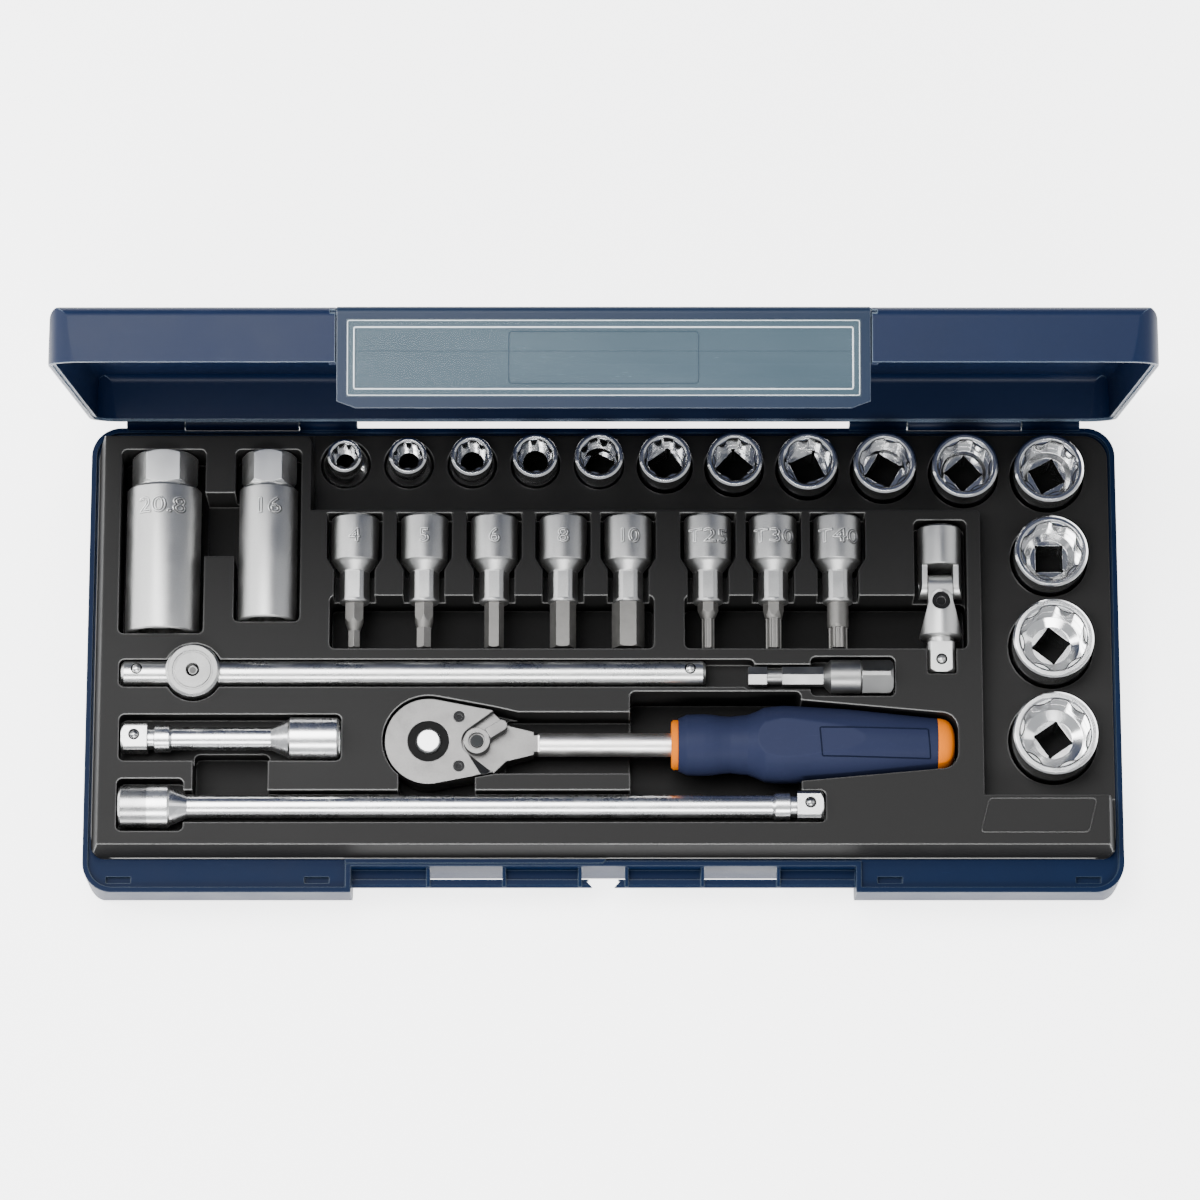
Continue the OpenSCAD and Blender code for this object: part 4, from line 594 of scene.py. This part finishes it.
def plain_plates():
    """Bare name places, framed by raised lines in the tray's corner, on the grip and on the window. The
    grip's frame is dark, painted shade in place of the groove round its plate.
    """
    plateau_z, corner, fine_corner = 0.0315, 0.0015, 0.0006
    loop = rounded_loop(0.1322, 0.173, -0.0652, -0.0531, corner, slant=0.003)
    bead("tray_plate", [(p.x, p.y, plateau_z) for p in loop], 0.00028, "case", "tray_plastic")
    loop = spaced(rounded_loop(0.0768, 0.1141, -0.0388, -0.0286, fine_corner, slant=-0.0008))
    bead("grip_plate", [(p.x, p.y, grip_top(p.x, p.y)) for p in loop], 0.00025, "ratchet",
         "grip_blue", "grip_groove_shade")
    loop = rounded_loop(-0.0311, 0.0311, 0.0823, 0.0995, corner)
    bead("window_plate", [on_window(*p) for p in loop], 0.00016, "latch", "window_plastic", "window_line")


def ball_rings():
    """A dark ring round each locking ball: painted shade in the gap round the ball."""
    ring_radius, ring_points, thick = 0.00175, 24, 0.00026
    half_square, bar_radius, from_end, off_axis = 0.00475, 0.0044, 0.0055, 0.0009
    square_from_end, off_square, ujoint_z = 0.0046, 0.0006, 0.0263
    turns = [math.tau * k / ring_points for k in range(ring_points)]
    ring = [(ring_radius * math.cos(a), ring_radius * math.sin(a)) for a in turns]
    spots = []
    low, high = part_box("sliding_bar")
    for k, x in enumerate((low[0] + from_end, high[0] - from_end)):
        y = (low[1] + high[1]) / 2 + off_axis
        spots.append((f"bar_{k}", "bar", "bar_chrome", x, y, low[2], bar_radius))
    for name in ("long", "short"):
        low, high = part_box("extension_" + name)
        x = high[0] - square_from_end if name == "long" else low[0] + square_from_end
        y, z = (low[1] + high[1]) / 2 + off_square, (low[2] + high[2]) / 2 + half_square
        spots.append((name, name + "_extension", "extension_chrome", x, y, z, None))
    low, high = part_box("ujoint_drive")
    spots.append(("ujoint", "ujoint_lower", "ujoint_chrome", (low[0] + high[0]) / 2,
                  low[1] + square_from_end, ujoint_z + half_square, None))
    for name, body, slot, x, y, z, radius in spots:
        points = []
        for dx, dy in ring:
            height = z
            if radius:
                height = z + radius + math.sqrt(radius ** 2 - (dy + off_axis) ** 2)
            points.append((x + dx, y + dy, height))
        bead("ball_ring_" + name, points, thick, body, slot, "black_steel")


def wave_points(size, turn, count=120):
    """The wavy outline of a socket's mouth: a circle with six bulges reaching in."""
    corner, bulge = size / math.sqrt(3) * 0.98, size * 0.34
    away = size / 2 + bulge
    points = []
    for k in range(count):
        angle = math.tau * k / count
        off = (angle + math.pi / 6) % (math.pi / 3) - math.pi / 6
        under = bulge ** 2 - (away * math.sin(off)) ** 2
        reach = min(corner, away * math.cos(off) - math.sqrt(under)) if under > 0 else corner
        points.append((reach * math.cos(angle + turn), reach * math.sin(angle + turn)))
    return points


def socket_waves():
    """A fine dark line that follows the wavy step inside each socket's rim: painted shade along the step."""
    turns = (0, 15, 40, 20, 62, 35, 48, 25, 60, 42, 28, 0, 52, 35)
    half_point, step_down, thick = 15, 0.0007, 0.0002
    sizes = sorted(node[7:] for node in frame["nodes"]
                   if node.startswith("socket_") and node[7:].isdigit())
    for size, turn in zip(sizes, turns):
        low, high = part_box("socket_" + size)
        x, y, step_z = (low[0] + high[0]) / 2, (low[1] + high[1]) / 2, high[2] - step_down
        outline = wave_points(int(size) * MM, math.radians(turn + half_point))
        bead("wave_" + size, [(x + px, y + py, step_z) for px, py in outline], thick,
             f"socket_{size}_body", "socket_chrome", "wave_step_shade", sides=6)


def lever_disc():
    """The dark cap let into the reversing lever's boss."""
    spot = Matrix.Translation((-0.04445, -0.0323, 0.0305))
    foot, top, height = 0.0024, 0.0022, 0.001
    bm = bmesh.new()
    bmesh.ops.create_cone(bm, cap_ends=True, segments=48, radius1=foot, radius2=top, depth=height,
                          matrix=spot)
    mesh = bpy.data.meshes.new("lever_disc")
    bm.to_mesh(mesh)
    bm.free()
    mesh_piece("lever_disc", mesh, "lever", "black_steel", "cap_steel")


def window_ribs():
    """Bright ribs round the clear window, a painted highlight on its moulded edges, and the fine moulding
    line across it.
    """
    corner = 0.0006
    ribs = (("outer", 0.0839, 0.0784, 0.1031, 0.0002, 0.0002),
            ("inner", 0.0818, 0.0805, 0.1009, 0.0001, 0.00035))
    for name, across, low, high, lift, thick in ribs:
        loop = rounded_loop(-across, across, low, high, corner, 3)
        bead("window_rib_" + name, [on_window(*p, lift) for p in loop], thick, "latch",
             "window_plastic", "window_rib")
    half_line, line_up = 0.081, 0.093
    line = [on_window(-half_line, line_up), on_window(half_line, line_up)]
    bead("window_line", line, 0.00008, "latch", "window_plastic", "window_line", closed=False)


place_camera()
light_studio()
lay_floor()
dress_solids()
stamp_sizes()
plain_plates()
socket_waves()
ball_rings()
lever_disc()
window_ribs()

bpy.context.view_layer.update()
